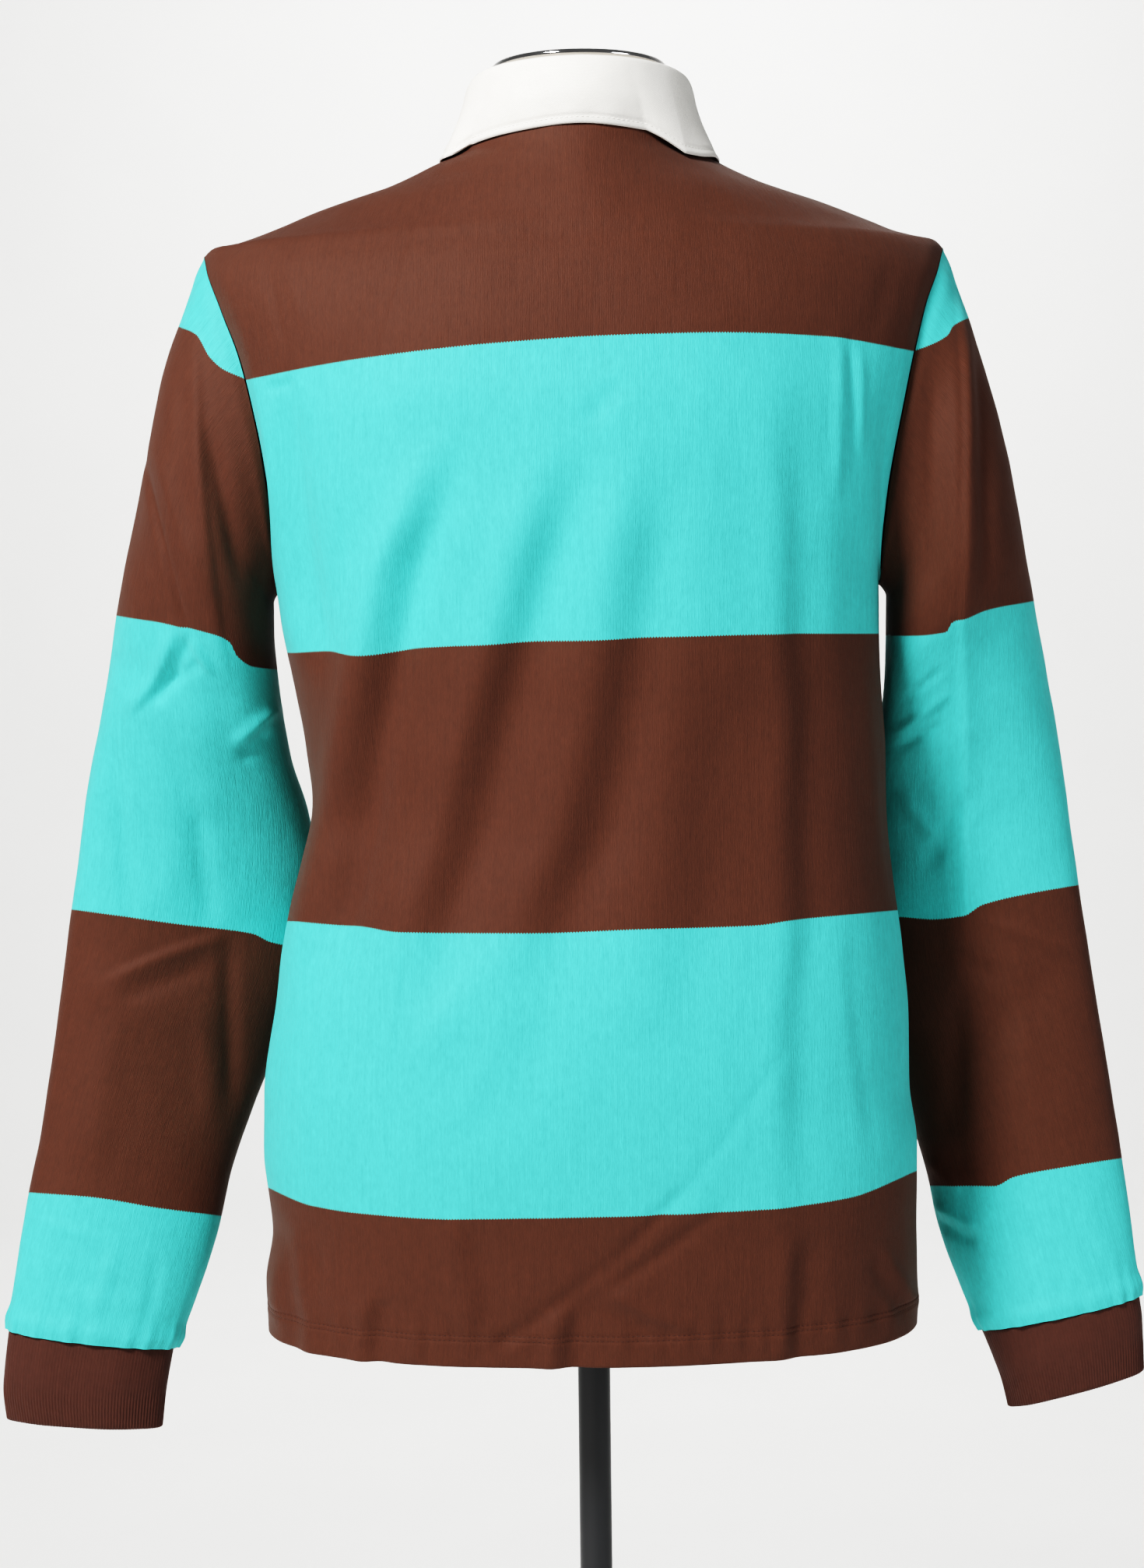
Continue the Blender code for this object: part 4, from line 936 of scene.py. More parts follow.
def stitches(name, line, normals, thread, pitch, finish, slot_name, share=0.72):
    """Raised stitches along a line of points on the cloth: the thread's radius, the distance
    between stitches, and the share of it that a stitch takes."""
    run = lengths(line, 0)
    whole = 0.001  # keeps a stitch that fits exactly
    count = int(run[-1] / pitch + whole)
    at = (np.arange(count) + 0.5) * pitch
    half = pitch * share / 2

    def spot(s):
        return np.stack([np.interp(s, run, line[:, k]) for k in range(3)], -1)

    normal = unit(np.stack([np.interp(at, run, normals[:, k]) for k in range(3)], -1))
    start, stop = spot(at - half), spot(at + half)
    tangent = unit(stop - start)
    side = np.cross(normal, tangent)
    rings = []
    turn = round_turns(5)
    round_thread = side[:, None] * np.cos(turn)[:, None] + normal[:, None] * np.sin(turn)[:, None]
    # the ends are points in the cloth, the middle is a round of five points above it
    for along, raised in ((0.0, False), (0.2, True), (0.8, True), (1.0, False)):
        lift = 0.1 if raised else -0.6
        centre = start * (1 - along) + stop * along + normal * thread * lift
        rings.append(centre[:, None] + (round_thread * thread if raised else 0))
    points = np.concatenate(rings, axis=1)
    one = []
    for k in range(5):
        n = (k + 1) % 5
        one += [(0, 1 + n, 1 + k), (11, 6 + k, 6 + n)]
        one += [(1 + k, 1 + n, 6 + n), (1 + k, 6 + n, 6 + k)]
    faces = (np.array(one)[None] + 12 * np.arange(count)[:, None, None]).reshape(-1, 3)
    made = placed_object(name, smooth_mesh(name, points.reshape(-1, 3), faces), finish)
    return belongs(made, "form", slot_name)


# ---- Materials ----
class Nodes:
    """Short way to add and link a material's nodes."""

    def __init__(self, name):
        self.material = bpy.data.materials.new(name)
        self.material.use_nodes = True
        self.tree = self.material.node_tree
        self.shader = self.tree.nodes["Principled BSDF"]

    def add(self, kind, links=None, **values):
        node = self.tree.nodes.new(kind)
        for key, value in values.items():
            setattr(node, key, value)
        for key, value in (links or {}).items():
            self.set(node.inputs[key], value)
        return node

    def set(self, socket, value):
        if isinstance(value, bpy.types.NodeSocket):
            self.tree.links.new(value, socket)
        else:
            socket.default_value = value

    def shade(self, values):
        """Sets these inputs of the shader."""
        for key, value in values.items():
            self.set(self.shader.inputs[key], value)

    def math(self, operation, a, b=0.0, c=0.0):
        node = self.add("ShaderNodeMath", {0: a, 1: b, 2: c}, operation=operation)
        return node.outputs[0]

    def total(self, *parts):
        """Sum of the parts; a part is a value, or a value and the number that weighs it."""
        weighed = [self.math("MULTIPLY", *part) if isinstance(part, tuple) else part for part in parts]
        found = weighed[0]
        for value in weighed[1:]:
            found = self.math("ADD", found, value)
        return found

    def noise(self, vector, scale, detail=2.0, roughness=0.5):
        links = {"Vector": vector, "Scale": scale, "Detail": detail, "Roughness": roughness}
        return self.add("ShaderNodeTexNoise", links).outputs["Fac"]

    def grain(self, cloth, across, along, detail=2.0, roughness=0.5):
        """Noise with so many grains in a metre across and along the cloth."""
        links = {"Vector": cloth, "Scale": (across, along, 1.0)}
        return self.noise(self.add("ShaderNodeMapping", links).outputs[0], 1.0, detail, roughness)

    def spread(self, noise, low, high):
        """A noise's usual values, 0.3 to 0.7, spread from low to high."""
        links = {0: noise, 1: 0.3, 2: 0.7, 3: low, 4: high}
        return self.add("ShaderNodeMapRange", links).outputs[0]

    def bump(self, height, distance, strength, before=None):
        links = {"Height": height, "Distance": distance, "Strength": strength}
        if before:
            links["Normal"] = before
        return self.add("ShaderNodeBump", links).outputs[0]

    def uv(self, layer):
        """A layer's vector, and its two measures."""
        vector = self.add("ShaderNodeUVMap", uv_map=layer).outputs[0]
        return vector, *self.add("ShaderNodeSeparateXYZ", {0: vector}).outputs[:2]

    def place(self):
        return self.add("ShaderNodeTexCoord").outputs["Object"]

    def tinted(self, colour, value):
        """The colour, lighter or darker by value."""
        links = {0: colour, "Scale": value}
        return self.add("ShaderNodeVectorMath", links, operation="SCALE").outputs[0]


BROWN = (0.076, 0.0250, 0.0125)
TURQUOISE = (0.070, 0.545, 0.538)
RIB_BROWN = (0.066, 0.022, 0.014)
THREAD_BROWN = (0.060, 0.022, 0.014)
THREAD_WHITE = (0.80, 0.79, 0.75)
TWILL_WHITE = (0.860, 0.850, 0.810)
LINEN_BEIGE = (0.600, 0.550, 0.475)
BUTTON_WHITE = (0.82, 0.80, 0.74)
CHROME_GREY = (0.86, 0.86, 0.86)
COATING_BLACK = (0.018, 0.019, 0.021)
PAPER_WHITE = (0.90, 0.90, 0.89)
JERSEY_WALE = 0.00105  # from one upright row of stitches to the next
RIB_WALE = 0.0009
THREAD_TWIST = 0.0006
TWILL_RIB = 0.0009
LINEN_PITCH = 0.0011  # from one thread to the next


def knit_surface(n, wale, strength):
    """Fine upright rows of stitches, uneven and slightly fuzzy. Gives the cloth's own place,
    its measure across, and the mottling by single stitches, whole rows and fuzz."""
    cloth, across, _ = n.uv("Cloth")
    wave = n.math("SINE", n.math("MULTIPLY", across, FULL_TURN / wale))
    stitch = n.grain(cloth, 1500.0, 210.0, 3.0, 0.65)
    row = n.grain(cloth, 620.0, 26.0, 2.0, 0.6)
    fuzz = n.grain(cloth, 190.0, 120.0, 4.0, 0.65)
    height = n.total((wave, 0.12), (stitch, 1.5), row, (fuzz, 1.2))
    n.shade({"Normal": n.bump(height, 0.00040, strength), "Roughness": 0.72, "Sheen Weight": 0.08})
    n.shade({"Sheen Roughness": 0.5, "Specular IOR Level": 0.32})
    mottling = n.spread(stitch, 0.89, 1.09), n.spread(row, -0.06, 0.06), n.spread(fuzz, -0.06, 0.06)
    return cloth, across, n.total(*mottling)


def striped_jersey():
    """Striped jersey; single stitches make the stripes' edges toothed."""
    n = Nodes("striped_jersey")
    cloth, across, tone = knit_surface(n, JERSEY_WALE, 0.5)
    tooth = n.math("PINGPONG", n.math("DIVIDE", across, TOOTH), 0.5)
    tooth = n.math("SUBTRACT", n.math("MULTIPLY", tooth, 2.0), 0.5)
    bands = n.total(n.uv("Bands")[1], (tooth, TOOTH_RISE / STRIPE_STEP))
    brown = n.math("GREATER_THAN", n.math("MODULO", bands, 2.0), 1.0)
    links = {"Factor": brown, "A": (*BROWN, 1), "B": (*TURQUOISE, 1)}
    colour = n.add("ShaderNodeMix", links, data_type="RGBA").outputs["Result"]
    tone = n.total(tone, n.spread(n.grain(cloth, 9.0, 7.0), -0.03, 0.03))
    n.shade({"Base Color": n.tinted(colour, tone)})
    return n.material


def plain_knit(name, colour, wale, strength):
    n = Nodes(name)
    n.shade({"Base Color": n.tinted(colour, knit_surface(n, wale, strength)[2])})
    return n.material


def twill():
    """Brushed cotton twill: fine diagonal ribs."""
    n = Nodes("cotton_twill")
    cloth, across, along = n.uv("Cloth")
    rib = n.math("SINE", n.math("MULTIPLY", n.total(across, (along, 0.7)), FULL_TURN / TWILL_RIB))
    yarn = n.grain(cloth, 900.0, 900.0, 3.0, 0.6)
    cloudy = n.grain(cloth, 60.0, 60.0, 3.0, 0.5)
    soft = n.bump(cloudy, 0.0012, 0.35)
    fine = n.bump(n.total((rib, 0.5), (yarn, 1.4)), 0.00025, 0.4, soft)
    tone = n.total(n.spread(yarn, 0.96, 1.02), n.spread(cloudy, -0.02, 0.02))
    n.shade({"Base Color": n.tinted(TWILL_WHITE, tone), "Normal": fine, "Roughness": 0.85})
    n.shade({"Sheen Weight": 0.08, "Specular IOR Level": 0.3})
    return n.material


def linen():
    """Undyed linen of the dress form: plain weave with thicker threads here and there."""
    n = Nodes("form_linen")
    cloth, across, along = n.uv("Cloth")
    weft = n.math("SINE", n.math("MULTIPLY", along, FULL_TURN / LINEN_PITCH))
    warp = n.math("SINE", n.math("MULTIPLY", across, FULL_TURN / LINEN_PITCH))
    thick_weft = n.grain(cloth, 90.0, 900.0, 3.0, 0.6)
    thick_warp = n.grain(cloth, 900.0, 90.0, 3.0, 0.6)
    weave = n.total(n.math("MULTIPLY", weft, warp), thick_weft, thick_warp)
    tone = n.total(n.spread(thick_weft, 0.90, 1.06), n.spread(thick_warp, -0.06, 0.05))
    tone = n.total(tone, n.spread(n.noise(n.place(), 14.0), -0.03, 0.03))
    n.shade({"Base Color": n.tinted(LINEN_BEIGE, tone), "Normal": n.bump(weave, 0.0003, 0.4)})
    n.shade({"Roughness": 0.9, "Specular IOR Level": 0.25})
    return n.material


def metal(name, colour, metallic, roughness, grain, strength, wear):
    """Polished or coated metal with faint handling marks."""
    n = Nodes(name)
    place = n.place()
    smear = n.noise(place, 22.0, 3.0, 0.6)
    fine = n.bump(n.noise(place, grain, 3.0, 0.6), 0.0002, strength)
    n.shade({"Base Color": n.tinted(colour, n.spread(smear, 0.96, 1.03)), "Metallic": metallic})
    n.shade({"Normal": fine, "Roughness": n.spread(smear, roughness, roughness + wear)})
    return n.material


def resin():
    """Glossy button resin with a faint swirl."""
    n = Nodes("button_resin")
    swirl = n.spread(n.noise(n.place(), 260.0, 3.0, 0.6), 0.9, 1.04)
    n.shade({"Base Color": n.tinted(BUTTON_WHITE, swirl), "Roughness": 0.28})
    n.shade({"Coat Weight": 0.3, "Coat Roughness": 0.15})
    return n.material


def paper():
    """Matt backdrop paper."""
    n = Nodes("backdrop_paper")
    n.shade({"Base Color": n.tinted(PAPER_WHITE, n.spread(n.noise(n.place(), 3.0), 0.99, 1.01))})
    n.shade({"Roughness": 0.9, "Specular IOR Level": 0.1})
    return n.material


JERSEY_CLOTH = striped_jersey()
RIB_CLOTH = plain_knit("cuff_rib", RIB_BROWN, RIB_WALE, 0.45)
TWILL_CLOTH = twill()
LINEN = linen()
CHROME = metal("polished_chrome", CHROME_GREY, 1.0, 0.06, 300.0, 0.02, 0.06)
BLACK = metal("black_coating", COATING_BLACK, 0.0, 0.30, 900.0, 0.25, 0.14)
RESIN = resin()
BROWN_THREAD = plain_knit("brown_thread", THREAD_BROWN, THREAD_TWIST, 0.3)
WHITE_THREAD = plain_knit("white_thread", THREAD_WHITE, THREAD_TWIST, 0.3)


# ---- Body panels ----
HEM_STITCH = (0.0152, 0.0180)  # the two rows of the hem's sewing, above the edge
HEM_LAYER = 0.0004  # the turned-up hem makes the cloth stand this much further out
HEM_TOP = 0.0190  # where that layer ends, above the edge
HEM_STEP = 0.002  # and over what height it does
HEM_DENT = 0.00060  # how far the sewing draws the cloth in
HEM_DENT_WIDTH = 0.0009
HEM_THREAD = 0.00026  # radius of the thread
HEM_PITCH = 0.0030
HEM_ENDS = 3  # so many points of each row are left without stitches at its ends
GATHER_PITCH = 0.017
GATHER_RISE = 0.00055
GATHER_AT = 0.0165  # the hem's gathers are highest here and fade over the reach
GATHER_REACH = 0.011
JERSEY_WAVES = 0.0007  # the rise of its unevenness
SEAM_DIP = (0.0007, 0.0035)  # how far and how widely a seam draws the cloth in
SEAM_RIDGE = (0.0005, 0.004)  # rise and width of the ridge over a seam's turned edges
SEAM_RIDGE_AT = 0.008  # from the seam
ARMHOLE_RUN = 0.24  # width of cloth from the armhole to the panel's middle, about
CROWDING = 0.07  # makes the columns lie closer at the sides
BROAD_FADE = (0.16, 0.14)  # shares of half the width and of the rows where broad folds fade out
FADE_SMALL, FADE_FLANK, FADE_TOP = 0.05, 0.07, 0.05  # the same for the rest: sides, and the top
HEM_ROWS = 24
TOP_ROWS = 14
SLOT_HEIGHT = 0.3  # reaches past the neck edge
SLOT_DEPTHS = (-0.16, -0.04)  # on both sides of the front, and clear of the back


def panel_rows(below, above):
    """Rows from hem to top: closer in the hem and at the top, with these counts between."""
    parts = (0, 0.034, HEM_ROWS), (0.034, ARMPIT_V, below), (ARMPIT_V, 0.96, above), (0.96, 1, TOP_ROWS)
    return np.concatenate([np.linspace(a, b, n, endpoint=False) for a, b, n in parts] + [[1.0]])


def seam_relief(run):
    """Relief of the cloth beside a seam, by the distance from it."""
    ridge = SEAM_RIDGE[0] * bell(run - SEAM_RIDGE_AT, SEAM_RIDGE[1])
    return ridge - SEAM_DIP[0] * bell(run, SEAM_DIP[1])


def build_panel(name, face, folds, creases, lines, stripes, seed, columns, rows):
    """Back (+1) or front (-1): its solid's form, with the folds, the hem and the seams' relief.
    Along its seams the cloth's thickness lies in the seam's own plane."""
    even = np.linspace(-1, 1, 2 * columns + 1)
    u = (even * (1 - CROWDING) + CROWDING * np.sin(even * math.pi / 2))[None, :]
    v = panel_rows(*rows)[:, None]
    base = panel_points(u + 0 * v, v + 0 * u, face)
    normals = grid_normals(base, False) * -face
    above = np.clip((v - ARMPIT_V) / (1 - ARMPIT_V), 0, 1) + 0 * u
    side_share = 1 - np.abs(u)
    near_top = ease((1 - v) / FADE_TOP)
    height = fold_height(base, folds) * ease(side_share / BROAD_FADE[0]) * ease((1 - v) / BROAD_FADE[1])
    small = crease_height(base, creases) + unevenness(base, seed, JERSEY_WAVES)
    height += small * ease(side_share / FADE_SMALL) * near_top
    height += flank_height(base, lines) * ease(side_share / FADE_FLANK) * near_top
    lift = base[..., 2] - base[:1, :, 2]
    hem = HEM_LAYER * ease((HEM_TOP - lift) / HEM_STEP)
    for at in HEM_STITCH:
        hem -= HEM_DENT * bell(lift - at, HEM_DENT_WIDTH)
    # gathers that the hem's sewing leaves
    x = base[..., 0]
    ripple = np.sin(x * FULL_TURN / GATHER_PITCH + 2 * np.sin(x * 31 + seed))
    hem += GATHER_RISE * ripple * bell(lift - GATHER_AT, GATHER_REACH)
    height += np.where(v < ARMPIT_V, hem, 0)
    height += seam_relief(side_share * ARMHOLE_RUN) * (above > 0)
    points = base + normals * height[..., None]
    points[..., 1] += face * SEAM / 2
    outward = np.stack([np.sign(u) + 0 * v, 0 * (u + v), 0 * (u + v)], -1)
    on_side = (np.abs(u) > 1 - 1e-9) & (above == 0)
    thick_dir = np.where(on_side[..., None], outward, normals)
    on_ridge = (above > 1 - 1e-9) & (np.abs(u) >= NECK_U - 1e-9)
    flat = unit(normals * np.array([1.0, 0.0, 1.0]))
    thick_dir = np.where(on_ridge[..., None], flat, thick_dir)
    turn = above * math.pi
    radial = np.stack([0 * turn, face * np.sin(turn), -np.cos(turn)], -1)
    on_armhole = (np.abs(u) > 1 - 1e-9) & (v >= ARMPIT_V - 1e-9)
    thick_dir = np.where(on_armhole[..., None], radial, thick_dir)
    bands = body_bands(base, stripes)
    measures = centred(lengths(points, 1), columns), lengths(points, 0)
    made = shell(name, points, thick_dir, JERSEY, *measures, bands, JERSEY_CLOTH, rims={"low": 0.45})
    return made, points, normals


def level_line(points, normals, at):
    """Line of a panel's grid at the given height above its hem."""
    lift = points[:, :, 2] - points[:1, :, 2]
    line, facing = [], []
    for c in range(points.shape[1]):
        k = int(np.searchsorted(lift[:, c], at)) - 1
        t = (at - lift[k, c]) / (lift[k + 1, c] - lift[k, c])
        line.append(points[k, c] * (1 - t) + points[k + 1, c] * t)
        facing.append(normals[k, c])
    return np.array(line), np.array(facing)


def cut_slot(front):
    """Opens the front for the placket, as in the solid."""
    levels = PLACKET_BOTTOM_Z, PLACKET_BOTTOM_Z + SLOT_HEIGHT
    corners = [(x, y, z) for z in levels for y in SLOT_DEPTHS for x in (-PLACKET_HALF, PLACKET_HALF)]
    faces = [(0, 1, 3, 2), (4, 6, 7, 5), (0, 4, 5, 1), (2, 3, 7, 6), (0, 2, 6, 4), (1, 5, 7, 3)]
    cutter = placed_object("slot", smooth_mesh("slot", corners, faces), JERSEY_CLOTH)
    cut = front.modifiers.new("slot", "BOOLEAN")
    cut.operation, cut.object, cut.solver = "DIFFERENCE", cutter, "EXACT"
    graph = bpy.context.evaluated_depsgraph_get()
    whole = bpy.data.meshes.new_from_object(front.evaluated_get(graph))
    front.modifiers.clear()
    front.data = whole
    bpy.data.objects.remove(cutter)


def sew_hem(name, points, normals):
    """The hem's two rows of stitches."""
    made = []
    for number, at in enumerate(HEM_STITCH, 1):
        line, facing = level_line(points, normals, at)
        line, facing = line[HEM_ENDS:-HEM_ENDS], facing[HEM_ENDS:-HEM_ENDS]
        sewn = f"{name}_hem_{number}"
        made.append(stitches(sewn, line, facing, HEM_THREAD, HEM_PITCH, BROWN_THREAD, "brown_jersey"))
    return made


back, back_points, back_normals = build_panel(
    "shirt_back", 1, (), placed(BACK_CREASES), placed_lines(BACK_FOLD_LINES), BACK_STRIPES, 3, 108,
    (180, 122),
)
back_sewing = sew_hem("back", back_points, back_normals)
belongs(back, "form", "brown_jersey", "back_panel")
front, front_points, front_normals = build_panel(
    "shirt_front", -1, FRONT_FOLDS, placed(FRONT_CREASES, BACK_DEPTH), (), BACK_STRIPES, 5, 80,
    (110, 90),
)
front_sewing = sew_hem("front", front_points, front_normals)
cut_slot(front)
belongs(front, "form", "brown_jersey", "front_panel")


# ---- Sleeves and cuffs ----
SLEEVE_AROUND = 176
SLEEVE_ROWS = 260
SLEEVE_CROWDING = 1.08  # above 1, the rows lie closer at the armhole
SLEEVE_WAVES = 0.0006
BROAD_SHARE = 0.5  # of the solid's folds; the small creases do the rest
FRONT_BROAD, FRONT_SMALL = 0.7, 0.6  # shares of the relief at the hidden front
CUFF_PUFF = (0.0018, 0.007, 0.006)  # rise over the cuff's seam, its place above it, and its width
CUFF_GATHER_REACH = 0.016
CUFF_AROUND = 720
CUFF_ROWS = 28
CUFF_RIBS = 120
CUFF_RIB_RISE = 0.00022
CUFF_WAVES = 0.0007
CUFF_SWAY = 0.0003
SLEEVE_DEPTH = -0.015  # where the sleeves stand, about, for reading their creases off the picture


def build_sleeve(name, table, folds, creases, stripes, side, seed):
    """Tube from the armhole to the cuff. Its relief fades towards its two side lines and is
    lower at the front."""
    around, rows = SLEEVE_AROUND, SLEEVE_ROWS
    turns, rings = sleeve_rings(table, side, around)
    reach = lengths(rings.mean(axis=1), 0)
    share = np.linspace(0, 1, rows + 1) ** SLEEVE_CROWDING
    base = smooth(reach, rings, reach[-1] * share)
    normals = faced(grid_normals(base, True), base - base.mean(axis=1, keepdims=True))
    thick_dir = normals.copy()
    thick_dir[0] = np.stack([0 * turns, np.sin(turns), np.cos(turns)], -1)
    facing = np.abs(np.sin(turns))[None, :]
    fade = (ease(share / 0.1) * ease((1 - share) / 0.08))[:, None]
    fine = (ease(share / 0.04) * ease((1 - share) / 0.03))[:, None]
    at_back = (np.sin(turns) > 0)[None, :]
    broad = fold_height(base, folds) * fade * ease(facing / 0.5) * np.where(at_back, 1, FRONT_BROAD)
    small = crease_height(base, creases) * ease(facing / 0.35) * np.where(at_back, 1, FRONT_SMALL)
    run = (share * reach[-1])[:, None]
    small = (small + unevenness(base, seed, SLEEVE_WAVES)) * fine
    height = broad * BROAD_SHARE + small + seam_relief(run)
    # gathers where the sleeve is sewn to the narrower cuff
    left_run = reach[-1] - run
    ripple = np.sin(turns * 17 + 1.5 * np.sin(turns * 3 + seed)) + 0.6 * np.sin(turns * 29 + seed)
    height += GATHER_RISE * ripple[None, :] * np.exp(-left_run / CUFF_GATHER_REACH)
    height += CUFF_PUFF[0] * bell(left_run - CUFF_PUFF[1], CUFF_PUFF[2])
    points = base + normals * height[..., None]
    points[0, :, 0] += side * SEAM
    across = centred(lengths(joined(points), 1), around // 4)
    along = np.repeat(run, around + 1, axis=1)
    bands = sleeve_bands(joined(base), stripes)
    return shell(name, points, thick_dir, JERSEY, across, along, bands, JERSEY_CLOTH, True)


def build_cuff(name, table, side, seed):
    """Ribbed tube; its ribs lie flatter at the seam, where they are stretched."""
    around, rows = CUFF_AROUND, CUFF_ROWS
    turns = round_turns(around)
    rings = np.array([ring(row, turns, side, SLEEVE_POWER) for row in table])
    share = np.linspace(0, 1, rows + 1)
    base = smooth(np.linspace(0, 1, len(table)), rings, share)
    normals = faced(grid_normals(base, True), base - base.mean(axis=1, keepdims=True))
    girth = lengths(joined(base), 1)
    phase = girth[:, :-1] / girth[:, -1:] * CUFF_RIBS
    grow = 0.30 + 0.70 * ease((share - 0.45) / 0.3)[:, None]
    height = CUFF_RIB_RISE * np.cos(FULL_TURN * phase) * grow
    height += unevenness(base, seed, CUFF_WAVES) + CUFF_SWAY * np.sin(turns * 7 + seed)[None, :]
    points = base + normals * height[..., None]
    along = np.repeat(lengths(base, 0).mean(axis=1)[:, None], around + 1, axis=1)
    rims = {"low": 0.3, "high": 0.4}
    return shell(name, points, normals, RIB, girth, along, None, RIB_CLOTH, True, rims)


left_sleeve = build_sleeve(
    "shirt_sleeve_left", LEFT_SLEEVE, LEFT_SLEEVE_FOLDS, placed(LEFT_SLEEVE_CREASES, SLEEVE_DEPTH),
    LEFT_SLEEVE_STRIPES, 1, 7,
)
belongs(left_sleeve, "form", "turquoise_jersey", "sleeve_left")
right_sleeve = build_sleeve(
    "shirt_sleeve_right", RIGHT_SLEEVE, RIGHT_SLEEVE_FOLDS,
    placed(RIGHT_SLEEVE_CREASES, SLEEVE_DEPTH), RIGHT_SLEEVE_STRIPES, -1, 11,
)
belongs(right_sleeve, "form", "turquoise_jersey", "sleeve_right")
left_cuff = build_cuff("shirt_cuff_left", LEFT_CUFF, 1, 13)
belongs(left_cuff, "form", "brown_rib", "cuff_left")
right_cuff = build_cuff("shirt_cuff_right", RIGHT_CUFF, -1, 17)
belongs(right_cuff, "form", "brown_rib", "cuff_right")


# ---- Collar ----
TOPSTITCH = 0.0040  # from the fall's edge
TOP_THREAD = 0.00024  # radius of the thread
TOP_PITCH = 0.0031
LEAF_CLEAR = 0.0022  # of the leaf's outer side from the shirt
LEAF_REACH = 0.030  # the furthest that the edge moves along the camera's view
LEAF_VIEW_FROM = 0.020  # behind the side line; from here, moves along the view take over
LEAF_VIEW_RUN = 0.025
LEAF_STRAIGHT = 0.85  # share of a move straight to the shirt that is made
LEAF_SOFT = 9  # points to each side over which the moves are evened out
FALL_TURN = ((-0.0012, 0.0010), (0.0002, 0.0020), (0.0018, 0.0014), (0.0030, -0.0008))  # out, up
TURN_ROWS = 10
BULGE_BACK = 0.0030  # the leaf bulges at the back
HOLLOW_SIDE = 0.0052  # and so much less at its sides, where it is hollow
STITCH_DENT = (0.00055, 0.0009)  # depth and width
PUCKER = (0.00025, 0.0052, 0.006)  # rise, length over 2 pi, and reach from the stitching
FALL_WAVES = 0.0005
STAND_ROWS = 15


def leaf_edge(degrees):
    """The fall's lower edge, laid down on the shirt. At the back it moves along the camera's
    view, so that it stays where the photograph shows it."""
    table = np.array(FALL_EDGE)
    mirrored = table[:0:-1] * (-1, -1, 1, 1)
    table = np.concatenate([mirrored, table])
    low = smooth(table[:, 0], table[:, 1:], degrees)
    graph = bpy.context.evaluated_depsgraph_get()
    trees = [BVHTree.FromObject(panel, graph) for panel in (back, front)]

    def nearest(point):
        found = min((tree.find_nearest(Vector(point)) for tree in trees), key=lambda hit: hit[3])
        return np.array(found[0]), found[3]

    moves = []
    for point in low:
        spot, far = nearest(point)
        straight = (spot - point) * (1 - LEAF_CLEAR / far)
        view = unit(point - np.array(CAMERA_AT))
        reach = 0.0
        while far > LEAF_CLEAR and reach < LEAF_REACH:
            reach += max(0.5 * (far - LEAF_CLEAR), 0.0001)
            far = nearest(point + view * reach)[1]
        share = ease((point[1] - LEAF_VIEW_FROM) / LEAF_VIEW_RUN) if reach < LEAF_REACH else 0.0
        moves.append(view * reach * share + straight * (1 - share) * LEAF_STRAIGHT)
    moves = np.pad(np.array(moves), ((LEAF_SOFT, LEAF_SOFT), (0, 0)), mode="edge")
    return low + np.mean([moves[k : k + len(low)] for k in range(2 * LEAF_SOFT + 1)], axis=0)


def build_fall(columns, rows):
    """The leaf from its turn over the stand down to its edge, with its row of stitching."""
    degrees = np.linspace(-FALL_END, FALL_END, 2 * columns + 1)
    top = fold_line(degrees)
    out = unit(top * np.array([1.0, 1.0, 0.0]))
    up = np.array([0.0, 0.0, 1.0])
    top = top + out * front_lap(degrees)[:, None]
    profile = [top + out * reach + up * lift for reach, lift in FALL_TURN]
    low, start = leaf_edge(degrees), profile[-1]
    bulge = (BULGE_BACK - HOLLOW_SIDE * np.sin(np.radians(degrees)) ** 2)[:, None]
    for share in (0.25, 0.5, 0.75, 1.0):
        bulged = out * bulge * math.sin(math.pi * share)
        profile.append(start * (1 - share) + low * share + bulged)
    at = lengths(np.array(profile), 0).mean(axis=1)
    turned = at[len(FALL_TURN) - 1]
    where = np.linspace(0, turned, TURN_ROWS + 1), np.linspace(turned, at[-1], rows + 1)[1:]
    points = smooth(at, profile, np.concatenate(where))
    normals = faced(grid_normals(points, False), out)
    across, along = centred(lengths(points, 1), columns), lengths(points, 0)
    from_edge = along[-1:] - along
    from_row = from_edge - TOPSTITCH
    pucker = PUCKER[0] * np.sin(across / PUCKER[1] + 2 * np.sin(across * 41))
    height = pucker * bell(from_row, PUCKER[2]) - STITCH_DENT[0] * bell(from_row, STITCH_DENT[1])
    height += unevenness(points, 19, FALL_WAVES) * ease(from_edge / 0.01)
    points = points + normals * height[..., None]
    made = shell(
        "shirt_collar_fall", points, normals, TWILL, across, along, None, TWILL_CLOTH,
        rims={"low": 0.3, "high": 0.42, "left": 0.42, "right": 0.42},
    )
    return made, points, normals, from_edge


def build_stand():
    """Upright band from the neck edge to the fold; its ends lie on each other at the front."""
    inside = np.linspace(-180, 180, 121)
    degrees = np.concatenate([[-STAND_END, -185], inside, [185, STAND_END]]).astype(float)
    low = neck_ring(degrees)
    top = fold_line(degrees)
    out = unit(top * np.array([1.0, 1.0, 0.0]))
    lap = front_lap(degrees) * np.sign(degrees)
    low = low + np.array([0.0, 0.0, 2 * SEAM]) + out * lap[:, None]
    top = top - np.array([0.0, 0.0, STAND_DROP]) + out * lap[:, None]
    share = np.linspace(0, 1, STAND_ROWS)[:, None, None]
    points = low * (1 - share) + top * share
    normals = np.repeat(out[None], STAND_ROWS, axis=0)
    across, along = lengths(points, 1), lengths(points, 0)
    return shell("shirt_collar_stand", points, normals, TWILL, across, along, None, TWILL_CLOTH)


